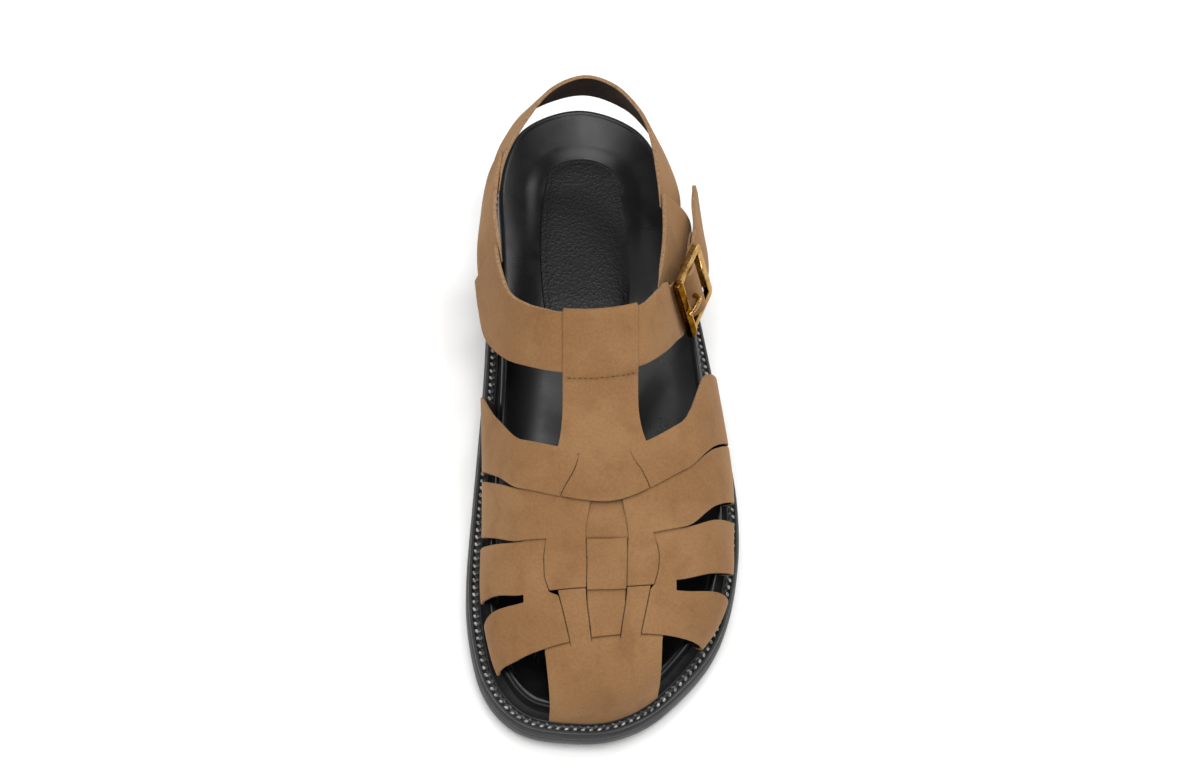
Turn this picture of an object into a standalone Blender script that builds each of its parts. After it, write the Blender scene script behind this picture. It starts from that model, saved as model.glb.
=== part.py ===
"""Roman (fisherman) sandal, left foot: flat woven leather sandal with an ankle strap and a buckle.

Metres, +Z up. The sole stands on z = 0 with its toe towards -Y, its heel towards +Y and the outer
(buckle) side of the foot towards +X. The origin is on the floor under the middle of the sole's box.

The tables hold millimetres, one row for each section or corner, and MM turns them into metres.
"""
import math

import bmesh
import bpy
import numpy as np
from mathutils import Matrix, Vector

MM = 0.001

# ---------------------------------------------------------------- driving sizes, millimetres

STRAP_THICKNESS = 2.1        # one layer of nubuck with its lining
CHAPE_THICKNESS = 1.0        # skived leather that holds the buckle
GAP = 0.35                   # clearance between pieces that touch on the real sandal
SEAT = 0.6                   # height of the straps' lower ends above the welt
MIDSOLE_THICKNESS = 3.0
MIDSOLE_STEP = 1.2           # the stitched edge stands this far inside the outsole's wall
FOOTBED_RIM_ROUND = 1.6      # rounding of the footbed's upper edge
DISH_PLACES = (-60.0, 40.0, 100.0)         # along the foot: flat floor at the toe, cup at the heel
DISH_STEEPNESS = (5.0, 3.6, 2.6)
PAD_THICKNESS = 1.3
RING_POINTS = 72             # points round one level of the sole
SPINE_FRONT = -85.5          # front end of the sole's middle line
SPINE_BACK = 89.5
SPINE_X = (-3.0, -4.8)       # the middle line's place at its front and back ends
FOOT_MIDDLE_X = -4.0

GROOVE_WIDTH = 3.0
GROOVE_DEPTH = 1.6
FOREFOOT_GROOVES = (-84.0, -71.0, -58.0, -45.0, -32.0)
HEEL_GROOVES = (52.0, 66.0, 80.0, 94.0)

BUCKLE_LENGTH = 22.4         # along the strap
BUCKLE_HEIGHT = 28.0         # across the strap
BUCKLE_BAR = 3.2             # width of the frame's bars
BUCKLE_DEPTH = 2.6           # the frame's thickness, outwards
FRONT_BAR = (4.5, 28.4, 3.4)   # the stout front bar: along the strap, across it and outwards
FRONT_BAR_PLACE = (-10.15, 0.0, 0.45)
FRAME_ROUNDING = 0.9
CENTRE_BAR_RADIUS = 1.0
CENTRE_BAR_DROP = 2.0        # the centre bar lies this far under the frame's own plane
PRONG_RADIUS = 1.0
CHAPE_HALF_WIDTH = 6.8
BUCKLE_CENTRE = (33.0, 28.9, 58.0)
BUCKLE_ALONG = (0.394, 0.918, -0.052)      # from the front bar to the back bar
BUCKLE_DOWN = (0.250, -0.228, -0.941)      # across the strap, towards the sole

COLLECTION = "roman_sandal"
CUTTERS = "roman_sandal_cutters"

# Outline of the outsole from above, anticlockwise corners of one closed smooth curve.
#    place                     x       y
OUTLINE = (
    ("toe tip",              -12.0, -129.5),
    ("toe, outer",             4.0, -127.6),
    ("little toe, front",     20.0, -118.2),
    ("little toe",            38.0,  -97.5),
    ("outer joint",           47.6,  -71.0),
    ("outer ball",            50.6,  -36.0),
    ("behind outer ball",     45.2,   10.0),
    ("outer waist",           38.8,   55.0),
    ("outer heel",            31.8,   94.0),
    ("heel corner, outer",    20.0,  119.0),
    ("heel back",             -5.0,  129.5),
    ("heel corner, inner",   -30.0,  119.0),
    ("inner heel",           -40.6,   94.0),
    ("inner heel side",      -41.6,   60.0),
    ("inner waist",          -43.6,   18.0),
    ("behind inner ball",    -47.4,  -26.0),
    ("inner ball",           -50.6,  -65.0),
    ("inner joint",          -50.0,  -89.0),
    ("big toe",              -44.6, -111.5),
    ("big toe, front",       -32.0, -125.6),
)

# Levels of the sole along its length: underside, top of the welt, footbed floor, rim and inset.
#    y     under   welt   floor   rim_in  rim_out  inset
SOLE = (
    (-129.5, 4.4,  16.2,  20.6,   22.9,   22.9,    7.0),
    (-116.0, 1.9,  15.9,  20.6,   23.6,   23.6,    7.7),
    (-101.0, 0.4,  15.2,  20.8,   24.6,   24.6,    8.2),
    (-90.0,  0.0,  15.0,  20.6,   24.6,   24.6,    8.2),
    (-60.0,  0.0,  14.5,  20.4,   24.8,   24.8,    8.2),
    (-24.0,  0.0,  14.6,  21.6,   26.8,   26.2,    7.8),
    (8.0,    2.2,  15.8,  24.2,   31.5,   28.6,    7.0),
    (26.0,   2.2,  17.0,  26.4,   34.6,   31.0,    6.2),
    (44.0,   0.0,  18.2,  28.4,   35.8,   33.4,    5.3),
    (80.0,   0.0,  20.2,  29.4,   37.2,   36.6,    3.9),
    (112.0,  0.0,  21.2,  30.6,   38.0,   38.0,    3.6),
    (129.5,  1.4,  21.6,  32.0,   38.4,   38.4,    3.6),
)
SOLE_COLUMNS = ("y", "under", "welt", "floor", "rim_in", "rim_out", "inset")

# Sections of the last over the foot: ridge of the foot, roundness and how far the straps stand out.
#    y     ridge_x  ridge_z  power  out_in  out_out
LAST = (
    (-118.0, -4.0,   37.5,   2.10,   1.6,    1.8),
    (-104.0, -3.5,   44.0,   2.10,   1.5,    4.2),
    (-89.0,  -3.2,   50.0,   2.10,   1.4,    4.8),
    (-72.0,  -3.0,   54.8,   2.05,   1.5,    4.0),
    (-58.0,  -3.0,   58.5,   2.00,   1.5,    2.6),
    (-44.0,  -3.0,   64.5,   1.95,   2.2,    2.4),
    (-16.0,  -3.8,   75.2,   1.90,   4.2,    2.2),
    (6.0,    -4.2,   86.0,   1.85,   6.0,    2.0),
)
LAST_COLUMNS = ("y", "ridge_x", "ridge_z", "power", "out_in", "out_out")

# The vamp's cross straps: place along the foot of each edge, at nine girths from the inner welt
# over the ridge to the outer welt. Neighbouring straps share an edge across the weave.
GIRTHS = (-2.0, -1.0, -0.88, -0.68, 0.0, 0.57, 0.84, 1.0, 2.0)
#    edge                   welt_in  rim_in  bend_in  weave_in   ridge  weave_out  bend_out  rim_out  welt_out
STRAP_EDGES = (
    ("instep strap, back",     2.0,   -1.5,  -21.0,   -34.0,   -43.5,  -30.0,    -7.0,     5.5,     9.0),
    ("instep strap, front",  -26.5,  -31.0,  -42.3,   -51.2,   -60.0,  -46.5,   -32.3,   -20.6,   -16.0),
    ("third strap, back",    -31.0,  -35.0,  -44.8,   -51.2,   -60.0,  -46.5,   -33.2,   -21.6,   -17.5),
    ("third strap, front",   -52.7,  -57.2,  -65.0,   -70.0,   -72.5,  -66.5,   -54.0,   -44.0,   -39.5),
    ("second strap, back",   -59.0,  -61.8,  -67.2,   -70.0,   -72.5,  -66.5,   -59.3,   -53.0,   -49.0),
    ("second strap, front",  -78.8,  -83.3,  -86.4,   -89.0,   -89.0,  -86.0,   -79.8,   -72.5,   -68.0),
    ("first strap, back",    -89.5,  -91.3,  -90.1,   -89.0,   -89.0,  -86.0,   -84.8,   -82.5,   -79.5),
    ("first strap, front",  -105.5, -110.0, -109.7,  -108.2,  -104.5, -103.0,  -102.5,  -101.0,   -96.5),
)
WALL_SHARE = 0.2             # the upright wall's share of the way from ridge to rim
COLUMNS_IN = (0.17, 0.34, 0.45, 0.56, 0.68, 0.77, 0.85, 0.92, 0.97, 1.0, 1.5, 2.0)
COLUMNS_OUT = (0.15, 0.30, 0.44, 0.57, 0.62, 0.72, 0.82, 0.90, 0.96, 1.0, 1.5, 2.0)
WEAVE_IN, WEAVE_OUT = 0.68, 0.57      # outermost lengthwise strips
BAR_IN, BAR_OUT = 0.34, 0.30          # the instep bar's edges where it leaves the weave
TOE_IN, TOE_OUT = 0.56, 0.62          # the toe strap's edges where it leaves the weave
STRAP_ROWS = 4                        # cells across one cross strap
BAR_ROWS = 5
TOE_ROWS = 6
BAR_TOP_X = (-17.0, 9.6)              # the instep bar's edges at the ankle strap
TOE_WELT_X = (-22.3, 16.0)            # the toe strap's edges at the welt
LOOP_TURN_STEPS = 6
LOOP_TAIL = 4.5                       # the folded end reaches this far past the ankle strap
LOOP_ROOM = 0.35                      # extra room round the ankle strap inside the loop
LOOP_HANG = 0.8                       # the loop stays open this far past the ankle strap
LOOP_SINK = 0.7                       # the turn's centre lies this far under the strap's upper edge

# The ankle strap over the instep: upper and lower edge of its middle layer.
#    place             x_up    y_up    z_up    x_low   y_low   z_low
ANKLE_STRAP = (
    ("inner end",     -40.3,   33.5,   79.0,   -46.8,   36.0,   51.5),
    ("inner side",    -38.8,   24.5,   78.4,   -45.6,   24.0,   50.5),
    ("inner turn",    -35.6,   14.0,   78.2,   -43.2,    9.5,   53.0),
    ("inner instep",  -29.6,    8.2,   79.8,   -36.6,   -2.6,   59.8),
    ("beside bar",    -22.0,    4.6,   81.6,   -27.5,  -10.2,   66.5),
    ("bar, inner",    -17.0,    3.0,   82.5,   -17.0,  -15.0,   71.0),
    ("under the bar",  -4.0,    2.2,   83.7,    -4.0,  -16.3,   73.2),
    ("bar, outer",     10.0,    6.8,   80.9,    10.3,  -12.2,   70.6),
    ("outer instep",   17.4,   15.2,   78.0,    19.8,   -2.6,   64.0),
    ("before buckle",  20.6,   20.2,   74.6,    25.6,    8.0,   54.8),
)
# The strap's way through the buckle: place along it, and share of the rise over the centre bar.
STRAP_RISE = (
    (-12.1, -0.12), (-9.6, -0.01), (-7.4, 0.01), (-4.0, 0.60), (-2.0, 0.93), (0.0, 1.0),
    (2.0, 0.93), (4.0, 0.62), (7.4, 0.08), (9.6, -0.01), (12.1, -0.02),
)
STRAP_TAIL = (
    ("past buckle",    32.9,   45.0,   65.6,    39.9,   41.5,   46.6),
    ("middle",         34.1,   52.5,   65.6,    40.2,   50.5,   46.8),
    ("narrowing",      34.1,   61.5,   65.0,    38.6,   60.5,   50.0),
    ("point",          35.2,   72.0,   62.6,    36.4,   72.0,   57.8),
)
STRAP_HALF_WIDTH = 10.4
BEFORE_BUCKLE = (-11.5, -3.2)              # along the strap and outwards, where the strap dips under

# The prong's middle line and the chape's tail: along the strap, outwards from the frame's plane.
PRONG_PATH = ((-2.4, -1.2), (-3.2, 1.6), (-4.2, 3.8), (-6.2, 4.2), (-9.0, 4.0), (-11.0, 3.7), (-12.4, 3.1))
CHAPE_TAIL = ((21.0, -7.2, -7.8), (17.0, -6.5, -6.9), (12.0, -5.2, -5.3), (6.0, -4.1, -4.1))
CHAPE_TURN_STEPS = 8

# The strap round the heel: upper and lower edge of its middle layer.
HEEL_SLING = (
    ("inner end",     -36.6,   56.0,   81.0,   -40.4,   58.0,   66.0),
    ("inner side",    -34.8,   70.0,   83.8,   -39.2,   74.0,   68.4),
    ("inner back",    -28.2,   85.0,   86.3,   -35.8,   86.8,   70.5),
    ("inner heel",    -18.8,   97.4,   87.6,   -26.0,   99.2,   72.8),
    ("heel middle",    -6.7,  103.2,   88.0,    -7.0,  105.4,   74.4),
    ("outer heel",      4.6,   99.4,   87.6,     9.0,  100.0,   73.6),
    ("outer back",     13.0,   89.6,   86.6,    18.4,   90.0,   71.8),
    ("outer side",     17.0,   80.0,   85.4,    24.4,   80.6,   67.2),
    ("outer quarter",  19.0,   66.0,   83.0,    28.6,   68.0,   62.2),
    ("outer end",      18.4,   50.0,   80.0,    27.8,   52.0,   60.6),
)

# The quarters rise from the welt: front, middle and back of each level above the footbed's rim.
#    level       x1     y1     z1      x2     y2     z2      x3     y3     z3
INNER_QUARTER = (
    ("waist",  -41.4,  26.0,  50.0,  -45.3,  45.0,  51.5,  -44.0,  60.5,  54.0),
    ("upper",  -38.6,  27.5,  64.0,  -43.4,  49.0,  66.0,  -42.2,  69.0,  70.0),
    ("top",    -35.8,  27.5,  78.4,  -40.2,  50.0,  80.2,  -37.8,  72.5,  84.0),
)
INNER_QUARTER_WELT = (24.0, 40.0, 56.0)
OUTER_QUARTER = (
    ("waist",   30.6,  31.5,  50.0,   32.6,  45.0,  51.0,   33.8,  60.0,  52.5),
    ("upper",   22.4,  27.0,  65.0,   26.6,  41.0,  65.8,   29.9,  57.0,  67.0),
    ("top",     17.6,  21.5,  78.0,   20.6,  37.0,  79.2,   21.3,  55.5,  80.8),
)
OUTER_QUARTER_WELT = (34.0, 48.0, 62.0)
QUARTER_LEAN = 0.4           # the quarters lean out this far between the welt and the rim

PAD_BACK, PAD_FRONT = 106.0, 14.0
PAD_HALF_WIDTH = 17.0
PAD_CENTRE_X = -4.6
PAD_END_SHARE = 1.6          # how soon the round ends give way to straight sides
PAD_POINTS = 40
PAD_LIFT = 0.25              # the dished footbed's facets stay clear of the pad's underside
PAD_EDGE = 0.5               # height of the pad's rounded edge


# ---------------------------------------------------------------- curves and tables

def read_column(table, columns, name, at):
    """Smooth value of one column of a table along y: cubic pieces that never overshoot a row."""
    ordered = sorted(table)
    xs = np.array([row[0] for row in ordered])
    ys = np.array([row[columns.index(name)] for row in ordered])
    step = np.diff(xs)
    rise = np.diff(ys) / step
    slope = np.zeros(len(xs))
    slope[0], slope[-1] = rise[0], rise[-1]
    for i in range(1, len(xs) - 1):
        if rise[i - 1] * rise[i] > 0:
            slope[i] = 2 / (1 / rise[i - 1] + 1 / rise[i])
    at = np.clip(at, xs[0], xs[-1])
    i = np.clip(np.searchsorted(xs, at) - 1, 0, len(step) - 1)
    t = (at - xs[i]) / step[i]
    return (ys[i] * (1 + 2 * t) * (1 - t) ** 2 + ys[i + 1] * t * t * (3 - 2 * t)
            + step[i] * (slope[i] * t * (1 - t) ** 2 + slope[i + 1] * t * t * (t - 1)))


def sole_level(name, y):
    return read_column(SOLE, SOLE_COLUMNS, name, y)


def last_level(name, y):
    return read_column(LAST, LAST_COLUMNS, name, y)


def smooth_path(corners, count, closed=False):
    """Points spaced evenly by length along a Catmull-Rom curve through the corners."""
    corners = np.array(corners, float)
    number = len(corners)
    spans = number if closed else number - 1
    at = np.linspace(0, spans, spans * 30 + 1)
    index = np.minimum(at.astype(int), spans - 1)
    t = (at - index)[:, None]
    if closed:
        before, here, there, after = (corners[(index + k) % number] for k in (-1, 0, 1, 2))
    else:
        ends = np.vstack([2 * corners[0] - corners[1], corners, 2 * corners[-1] - corners[-2]])
        before, here, there, after = (ends[index + k] for k in range(4))
    curve = 0.5 * (2 * here + (there - before) * t
                   + (2 * before - 5 * here + 4 * there - after) * t ** 2
                   + (3 * here - before - 3 * there + after) * t ** 3)
    length = np.append(0, np.cumsum(np.linalg.norm(np.diff(curve, axis=0), axis=1)))
    stops = np.linspace(0, length[-1], count, endpoint=not closed)
    return np.stack([np.interp(stops, length, curve[:, k]) for k in range(curve.shape[1])], axis=1)


def inset_ring(ring, distance):
    """Moves a closed anticlockwise outline inwards along its own normals."""
    along = np.roll(ring, -1, axis=0) - np.roll(ring, 1, axis=0)
    along /= np.linalg.norm(along, axis=1)[:, None]
    inwards = np.stack([-along[:, 1], along[:, 0]], axis=1)
    return ring + inwards * np.reshape(distance, (-1, 1))


OUTLINE_RING = smooth_path([row[1:] for row in OUTLINE], RING_POINTS, closed=True)
FINE_RING = smooth_path([row[1:] for row in OUTLINE], 900, closed=True)


def strap_inset(y):
    """The straps' middle layer stands just outside the footbed's wall."""
    return sole_level("inset", y) - GAP - STRAP_THICKNESS / 2


STRAP_RING = inset_ring(FINE_RING, strap_inset(FINE_RING[:, 1]))


def strap_ring_x(y, side):
    """Where the straps meet the welt on the inner (-1) or outer (+1) side of the foot."""
    toe, heel = np.argmin(STRAP_RING[:, 1]), np.argmax(STRAP_RING[:, 1])
    split = np.interp(STRAP_RING[:, 1], STRAP_RING[[toe, heel], 1], STRAP_RING[[toe, heel], 0])
    half = STRAP_RING[(STRAP_RING[:, 0] - split) * side >= 0]
    half = half[np.argsort(half[:, 1])]
    return np.interp(y, half[:, 1], half[:, 0])


def rim_level(y, side):
    return sole_level("rim_in" if side < 0 else "rim_out", y)


def last_point(y, girth):
    """Middle layer of the straps: girth 0 on the ridge, +-1 at the rim's height, +-2 on the welt.

    Above the rim the section is a quarter of a superellipse, and below it an upright wall.
    """
    side = -1 if girth < 0 else 1
    out = last_level("out_in" if side < 0 else "out_out", y) * side
    ridge_x, ridge_z = last_level("ridge_x", y), last_level("ridge_z", y)
    power = last_level("power", y)
    welt_x = strap_ring_x(y, side)
    across = min(abs(girth), 1.0)
    down = max(abs(girth) - 1.0, 0.0)
    spring_z = rim_level(y, side)
    x = ridge_x + (welt_x + out - ridge_x) * across - out * down * down * (3 - 2 * down)
    if down > 0:
        z = spring_z + (sole_level("welt", y) + SEAT - spring_z) * down
    else:
        z = spring_z + (ridge_z - spring_z) * (1 - across ** power) ** (1 / power)
    return Vector((x, y, z))


# ---------------------------------------------------------------- scene helpers

def start_clean():
    for item in list(bpy.data.objects):
        bpy.data.objects.remove(item, do_unlink=True)
    for name in (COLLECTION, CUTTERS):
        collection = bpy.data.collections.new(name)
        bpy.context.scene.collection.children.link(collection)


def plain_material(name, colour, roughness, metallic=0.0):
    material = bpy.data.materials.new(name)
    material.use_nodes = True
    shader = material.node_tree.nodes["Principled BSDF"]
    shader.inputs["Base Color"].default_value = (*colour, 1.0)
    shader.inputs["Roughness"].default_value = roughness
    shader.inputs["Metallic"].default_value = metallic
    return material


def new_object(name, vertices, faces, material, collection=COLLECTION):
    """An object from vertices in millimetres, with its faces turned outwards."""
    mesh = bpy.data.meshes.new(name)
    mesh.from_pydata([tuple(c * MM for c in v) for v in vertices], [], faces)
    mesh.update()
    body = bmesh.new()
    body.from_mesh(mesh)
    bmesh.ops.recalc_face_normals(body, faces=body.faces)
    body.to_mesh(mesh)
    body.free()
    item = bpy.data.objects.new(name, mesh)
    bpy.data.collections[collection].objects.link(item)
    if material:
        mesh.materials.append(material)
        mesh.shade_smooth()
        mesh.set_sharp_from_angle(angle=math.radians(40))
    return item


def make_cutter(item):
    item.hide_render = True
    item.display_type = "WIRE"


def add_boolean(item, cutter, operation):
    modifier = item.modifiers.new(operation.title(), "BOOLEAN")
    modifier.operation = operation
    modifier.object = cutter


def add_thickness(item, thickness):
    """Gives an open sheet its wall, half to each side of the middle layer."""
    modifier = item.modifiers.new("Leather", "SOLIDIFY")
    modifier.thickness = thickness * MM
    modifier.offset = 0.0
    modifier.use_even_offset = True


# ---------------------------------------------------------------- sole

def ring_stack(name, rings, material):
    """A closed solid through a stack of closed rings, its two ends filled.

    Each ring holds as many points as the others. The first and the last are small inner rings,
    so the long narrow hole left inside each is filled with a strip of triangles.
    """
    points = len(rings[0])
    vertices = [tuple(p) for ring in rings for p in ring]
    faces = []
    for level in range(len(rings) - 1):
        low, high = level * points, (level + 1) * points
        for i in range(points):
            j = (i + 1) % points
            faces.append((low + i, low + j, high + j, high + i))
    mesh = bpy.data.meshes.new(name)
    mesh.from_pydata([tuple(c * MM for c in v) for v in vertices], [], faces)
    body = bmesh.new()
    body.from_mesh(mesh)
    for end in (0, len(rings) - 1):
        body.verts.ensure_lookup_table()
        loop = [body.verts[end * points + i] for i in range(points)]
        edges = [body.edges.get((loop[i], loop[(i + 1) % points])) for i in range(points)]
        bmesh.ops.triangle_fill(body, edges=edges, use_beauty=True)
    bmesh.ops.recalc_face_normals(body, faces=body.faces)
    body.to_mesh(mesh)
    body.free()
    item = bpy.data.objects.new(name, mesh)
    bpy.data.collections[COLLECTION].objects.link(item)
    mesh.materials.append(material)
    mesh.shade_smooth()
    mesh.set_sharp_from_angle(angle=math.radians(40))
    return item


def spine_of(ring):
    """The nearest place on the sole's middle line for each point of a ring."""
    y = np.clip(ring[:, 1], SPINE_FRONT, SPINE_BACK)
    x = np.interp(y, (SPINE_FRONT, SPINE_BACK), SPINE_X)
    return np.stack([x, y], axis=1)


def flat_ring(inset, shrink=1.0):
    """The outline moved in by an inset, then drawn towards the middle line."""
    ring = inset_ring(OUTLINE_RING, inset)
    spine = spine_of(ring)
    return spine + (ring - spine) * shrink


def lifted(ring, height):
    return np.column_stack([ring, height])


def build_outsole(material):
    """Rubber outsole: flat under heel and forefoot, hollowed at the waist, turned up at the toe."""
    def top(ring):
        return lifted(ring, sole_level("welt", ring[:, 1]) - MIDSOLE_THICKNESS - GAP)

    def under(ring):
        return lifted(ring, sole_level("under", ring[:, 1]))

    def wall(part, inset):
        ring = flat_ring(inset)
        low, high = under(ring), top(ring)
        return low + (high - low) * part

    rings = [under(flat_ring(3.0, shrink)) for shrink in (0.06, 0.55, 0.97)]
    rings += [wall(0.04, 1.6), wall(0.25, 0.35), wall(0.55, 0.0), wall(0.85, 0.3), wall(1.0, 1.2)]
    rings += [top(flat_ring(3.0, shrink)) for shrink in (0.97, 0.80, 0.50, 0.06)]
    outsole = ring_stack("outsole", rings, material)
    cutters = []
    for y in FOREFOOT_GROOVES + HEEL_GROOVES:
        bpy.ops.mesh.primitive_cube_add(size=1.0, location=(0, y * MM, 0))
        groove = bpy.context.object
        groove.name = "tread_groove"
        groove.scale = (0.13, GROOVE_WIDTH * MM, 2 * GROOVE_DEPTH * MM)
        groove.data.materials.append(material)
        cutters.append(groove)
    for groove in cutters:
        for collection in list(groove.users_collection):
            collection.objects.unlink(groove)
        bpy.data.collections[CUTTERS].objects.link(groove)
        make_cutter(groove)
        add_boolean(outsole, groove, "DIFFERENCE")
    return outsole


def build_midsole(material):
    """Thin layer whose edge is the stitched welt."""
    def level(inset, drop, shrink=1.0):
        ring = flat_ring(inset, shrink)
        return lifted(ring, sole_level("welt", ring[:, 1]) - drop)

    edge = MIDSOLE_STEP
    rings = [level(3.0, MIDSOLE_THICKNESS, shrink) for shrink in (0.06, 0.50, 0.80)]
    rings += [level(edge + 0.4, MIDSOLE_THICKNESS), level(edge, MIDSOLE_THICKNESS / 2)]
    rings += [level(edge + 0.6, 0.0)]
    rings += [level(3.0, 0.0, shrink) for shrink in (0.88, 0.72, 0.46, 0.06)]
    return ring_stack("midsole", rings, material)


def footbed_height(x, y):
    """Top of the footbed: a dished floor that rises to a rim, deepest in the heel cup."""
    ring = inset_ring(FINE_RING, sole_level("inset", FINE_RING[:, 1]))
    side = -1 if x < FOOT_MIDDLE_X else 1
    spine = np.array([FOOT_MIDDLE_X, min(max(y, SPINE_FRONT), SPINE_BACK)])
    reach = math.hypot(x - spine[0], y - spine[1])
    if reach < 1e-6:
        return float(sole_level("floor", y))
    angles = np.arctan2(ring[:, 1] - spine[1], ring[:, 0] - spine[0])
    angle = math.atan2(y - spine[1], x - spine[0])
    off = np.abs((angles - angle + math.pi) % (2 * math.pi) - math.pi)
    nearest = ring[np.argmin(off)]
    share = min(reach / math.hypot(*(nearest - spine)), 1.0)
    floor, rim = float(sole_level("floor", y)), float(rim_level(y, side))
    steep = float(np.interp(y, DISH_PLACES, DISH_STEEPNESS))
    return floor + (rim - floor) * share ** steep


def build_footbed(material):
    """Moulded footbed wrapped in leather, with an arch and a heel cup."""
    inset = sole_level("inset", OUTLINE_RING[:, 1])
    outer = inset_ring(OUTLINE_RING, inset)
    spine = spine_of(outer)
    base = sole_level("welt", outer[:, 1]) + GAP
    rim = np.array([float(rim_level(y, -1 if x < FOOT_MIDDLE_X else 1)) for x, y in outer])

    def bottom(shrink):
        ring = spine + (outer - spine) * shrink
        return lifted(ring, sole_level("welt", ring[:, 1]) + GAP)

    def top(shrink):
        ring = spine + (outer - spine) * shrink
        return lifted(ring, [footbed_height(x, y) for x, y in ring])

    rings = [bottom(0.06), bottom(0.52), bottom(0.82), lifted(outer, base)]
    rings += [lifted(outer, rim - FOOTBED_RIM_ROUND)]
    rounded = inset_ring(outer, 0.3 * FOOTBED_RIM_ROUND)
    rings += [lifted(rounded, rim - 0.3 * FOOTBED_RIM_ROUND)]
    crest = inset_ring(outer, FOOTBED_RIM_ROUND)
    rings += [lifted(crest, rim - 0.15)]
    rings += [top(shrink) for shrink in (0.90, 0.78, 0.62, 0.42, 0.22, 0.06)]
    return ring_stack("footbed", rings, material)


def pad_outline(count):
    """Long pad with a round end under the heel and another under the ankle strap."""
    turn = np.linspace(0, 2 * math.pi, count, endpoint=False)
    middle = (PAD_BACK + PAD_FRONT) / 2
    straight = (PAD_BACK - PAD_FRONT) / 2 - PAD_HALF_WIDTH
    spine_y = middle + straight * np.clip(PAD_END_SHARE * np.sin(turn), -1, 1)
    spine = np.column_stack([np.full(count, PAD_CENTRE_X), spine_y])
    return spine, spine + PAD_HALF_WIDTH * np.column_stack([np.cos(turn), np.sin(turn)])


def build_heel_pad(material):
    """Soft grained pad lying on the footbed from the heel to the arch."""
    spine, ring = pad_outline(PAD_POINTS)

    def level(shrink, lift):
        flat = spine + (ring - spine) * shrink
        return lifted(flat, [footbed_height(x, y) + lift for x, y in flat])

    base = GAP + PAD_LIFT
    top = base + PAD_THICKNESS
    rings = [level(0.1, base), level(0.6, base), level(1.0, base), level(1.0, top - PAD_EDGE)]
    rings += [level(0.93, top), level(0.55, top), level(0.1, top)]
    return ring_stack("heel_pad", rings, material)


# ---------------------------------------------------------------- upper

class Sheet:
    """Collects named grid points and the faces between them, so that strips can share edges."""

    def __init__(self):
        self.points = []
        self.index = {}
        self.faces = []

    def put(self, key, point):
        if key not in self.index:
            self.index[key] = len(self.points)
            self.points.append(point)
        return self.index[key]

    def quad(self, *keys):
        corners = [self.index[key] for key in keys]
        self.faces.append(tuple(dict.fromkeys(corners)))


def unrolled(girth):
    """Even distance round the foot: the arch as a quarter turn, then the upright wall."""
    arch = math.asin(min(abs(girth), 1.0)) * 2 / math.pi
    return math.copysign(arch + WALL_SHARE * max(abs(girth) - 1.0, 0.0), girth)


def edge_station(row, girth):
    """Place along the foot of a strap's edge at any girth, smooth through the table's row."""
    table = [(unrolled(stop), place) for stop, place in zip(GIRTHS, row[1:])]
    return float(read_column(table, ("girth", "place"), "place", unrolled(girth)))


def build_vamp_sheet(sheet, columns):
    """The four cross straps; inside the weave two neighbours meet along one shared edge."""
    def woven(girth):
        return -WEAVE_IN - 1e-6 <= girth <= WEAVE_OUT + 1e-6

    for strap in range(4):
        back, front = STRAP_EDGES[2 * strap], STRAP_EDGES[2 * strap + 1]
        for i, girth in enumerate(columns):
            start, end = edge_station(back, girth), edge_station(front, girth)
            for row in range(STRAP_ROWS + 1):
                y = start + (end - start) * row / STRAP_ROWS
                key = (strap, row, i)
                if row == 0 and strap > 0 and woven(girth):
                    sheet.index[key] = sheet.index[(strap - 1, STRAP_ROWS, i)]
                else:
                    sheet.put(key, last_point(y, girth))
        for i in range(len(columns) - 1):
            for row in range(STRAP_ROWS):
                near, far = (strap, row, i), (strap, row + 1, i + 1)
                sheet.quad(near, (strap, row, i + 1), far, (strap, row + 1, i))


def build_toe_strap(sheet, columns):
    """From the first strap down the toe: each line leaves the vamp's slope and lands upright."""
    inner, outer = columns.index(-TOE_IN), columns.index(TOE_OUT)
    front_half = STRAP_RING[STRAP_RING[:, 1] < -60.0]
    toe = front_half[np.argsort(front_half[:, 0])]
    for i in range(inner, outer + 1):
        start = sheet.points[sheet.index[(3, STRAP_ROWS, i)]]
        before = sheet.points[sheet.index[(3, STRAP_ROWS - 1, i)]]
        part = (i - inner) / (outer - inner)
        x = TOE_WELT_X[0] + (TOE_WELT_X[1] - TOE_WELT_X[0]) * part
        y = float(np.interp(x, toe[:, 0], toe[:, 1]))
        rim = Vector((x, y - last_level("out_in", y), rim_level(y, 1)))
        foot = Vector((x, y, sole_level("welt", y) + SEAT))
        slope = (start - before).normalized()
        reach = (rim - start).length
        pull = start + slope * reach * 0.42
        push = rim + Vector((0, 0, 1)) * reach * 0.38
        sheet.index[("toe", 0, i)] = sheet.index[(3, STRAP_ROWS, i)]
        for row in range(1, TOE_ROWS + 1):
            t = row / TOE_ROWS
            point = (start * (1 - t) ** 3 + pull * 3 * t * (1 - t) ** 2
                     + push * 3 * t * t * (1 - t) + rim * t ** 3)
            sheet.put(("toe", row, i), point)
        sheet.put(("toe", TOE_ROWS + 1, i), foot)
    for i in range(inner, outer):
        for row in range(TOE_ROWS + 1):
            sheet.quad(("toe", row, i), ("toe", row, i + 1), ("toe", row + 1, i + 1), ("toe", row + 1, i))


def before_buckle(down):
    return at_buckle(BEFORE_BUCKLE[0], down, BEFORE_BUCKLE[1])


def ankle_strap_lines(count):
    """Upper and lower edge of the ankle strap's middle layer from its inner end to the buckle."""
    upper = [row[1:4] for row in ANKLE_STRAP] + [before_buckle(-STRAP_HALF_WIDTH)]
    lower = [row[4:] for row in ANKLE_STRAP] + [before_buckle(STRAP_HALF_WIDTH)]
    return smooth_path(upper, count), smooth_path(lower, count)


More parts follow.
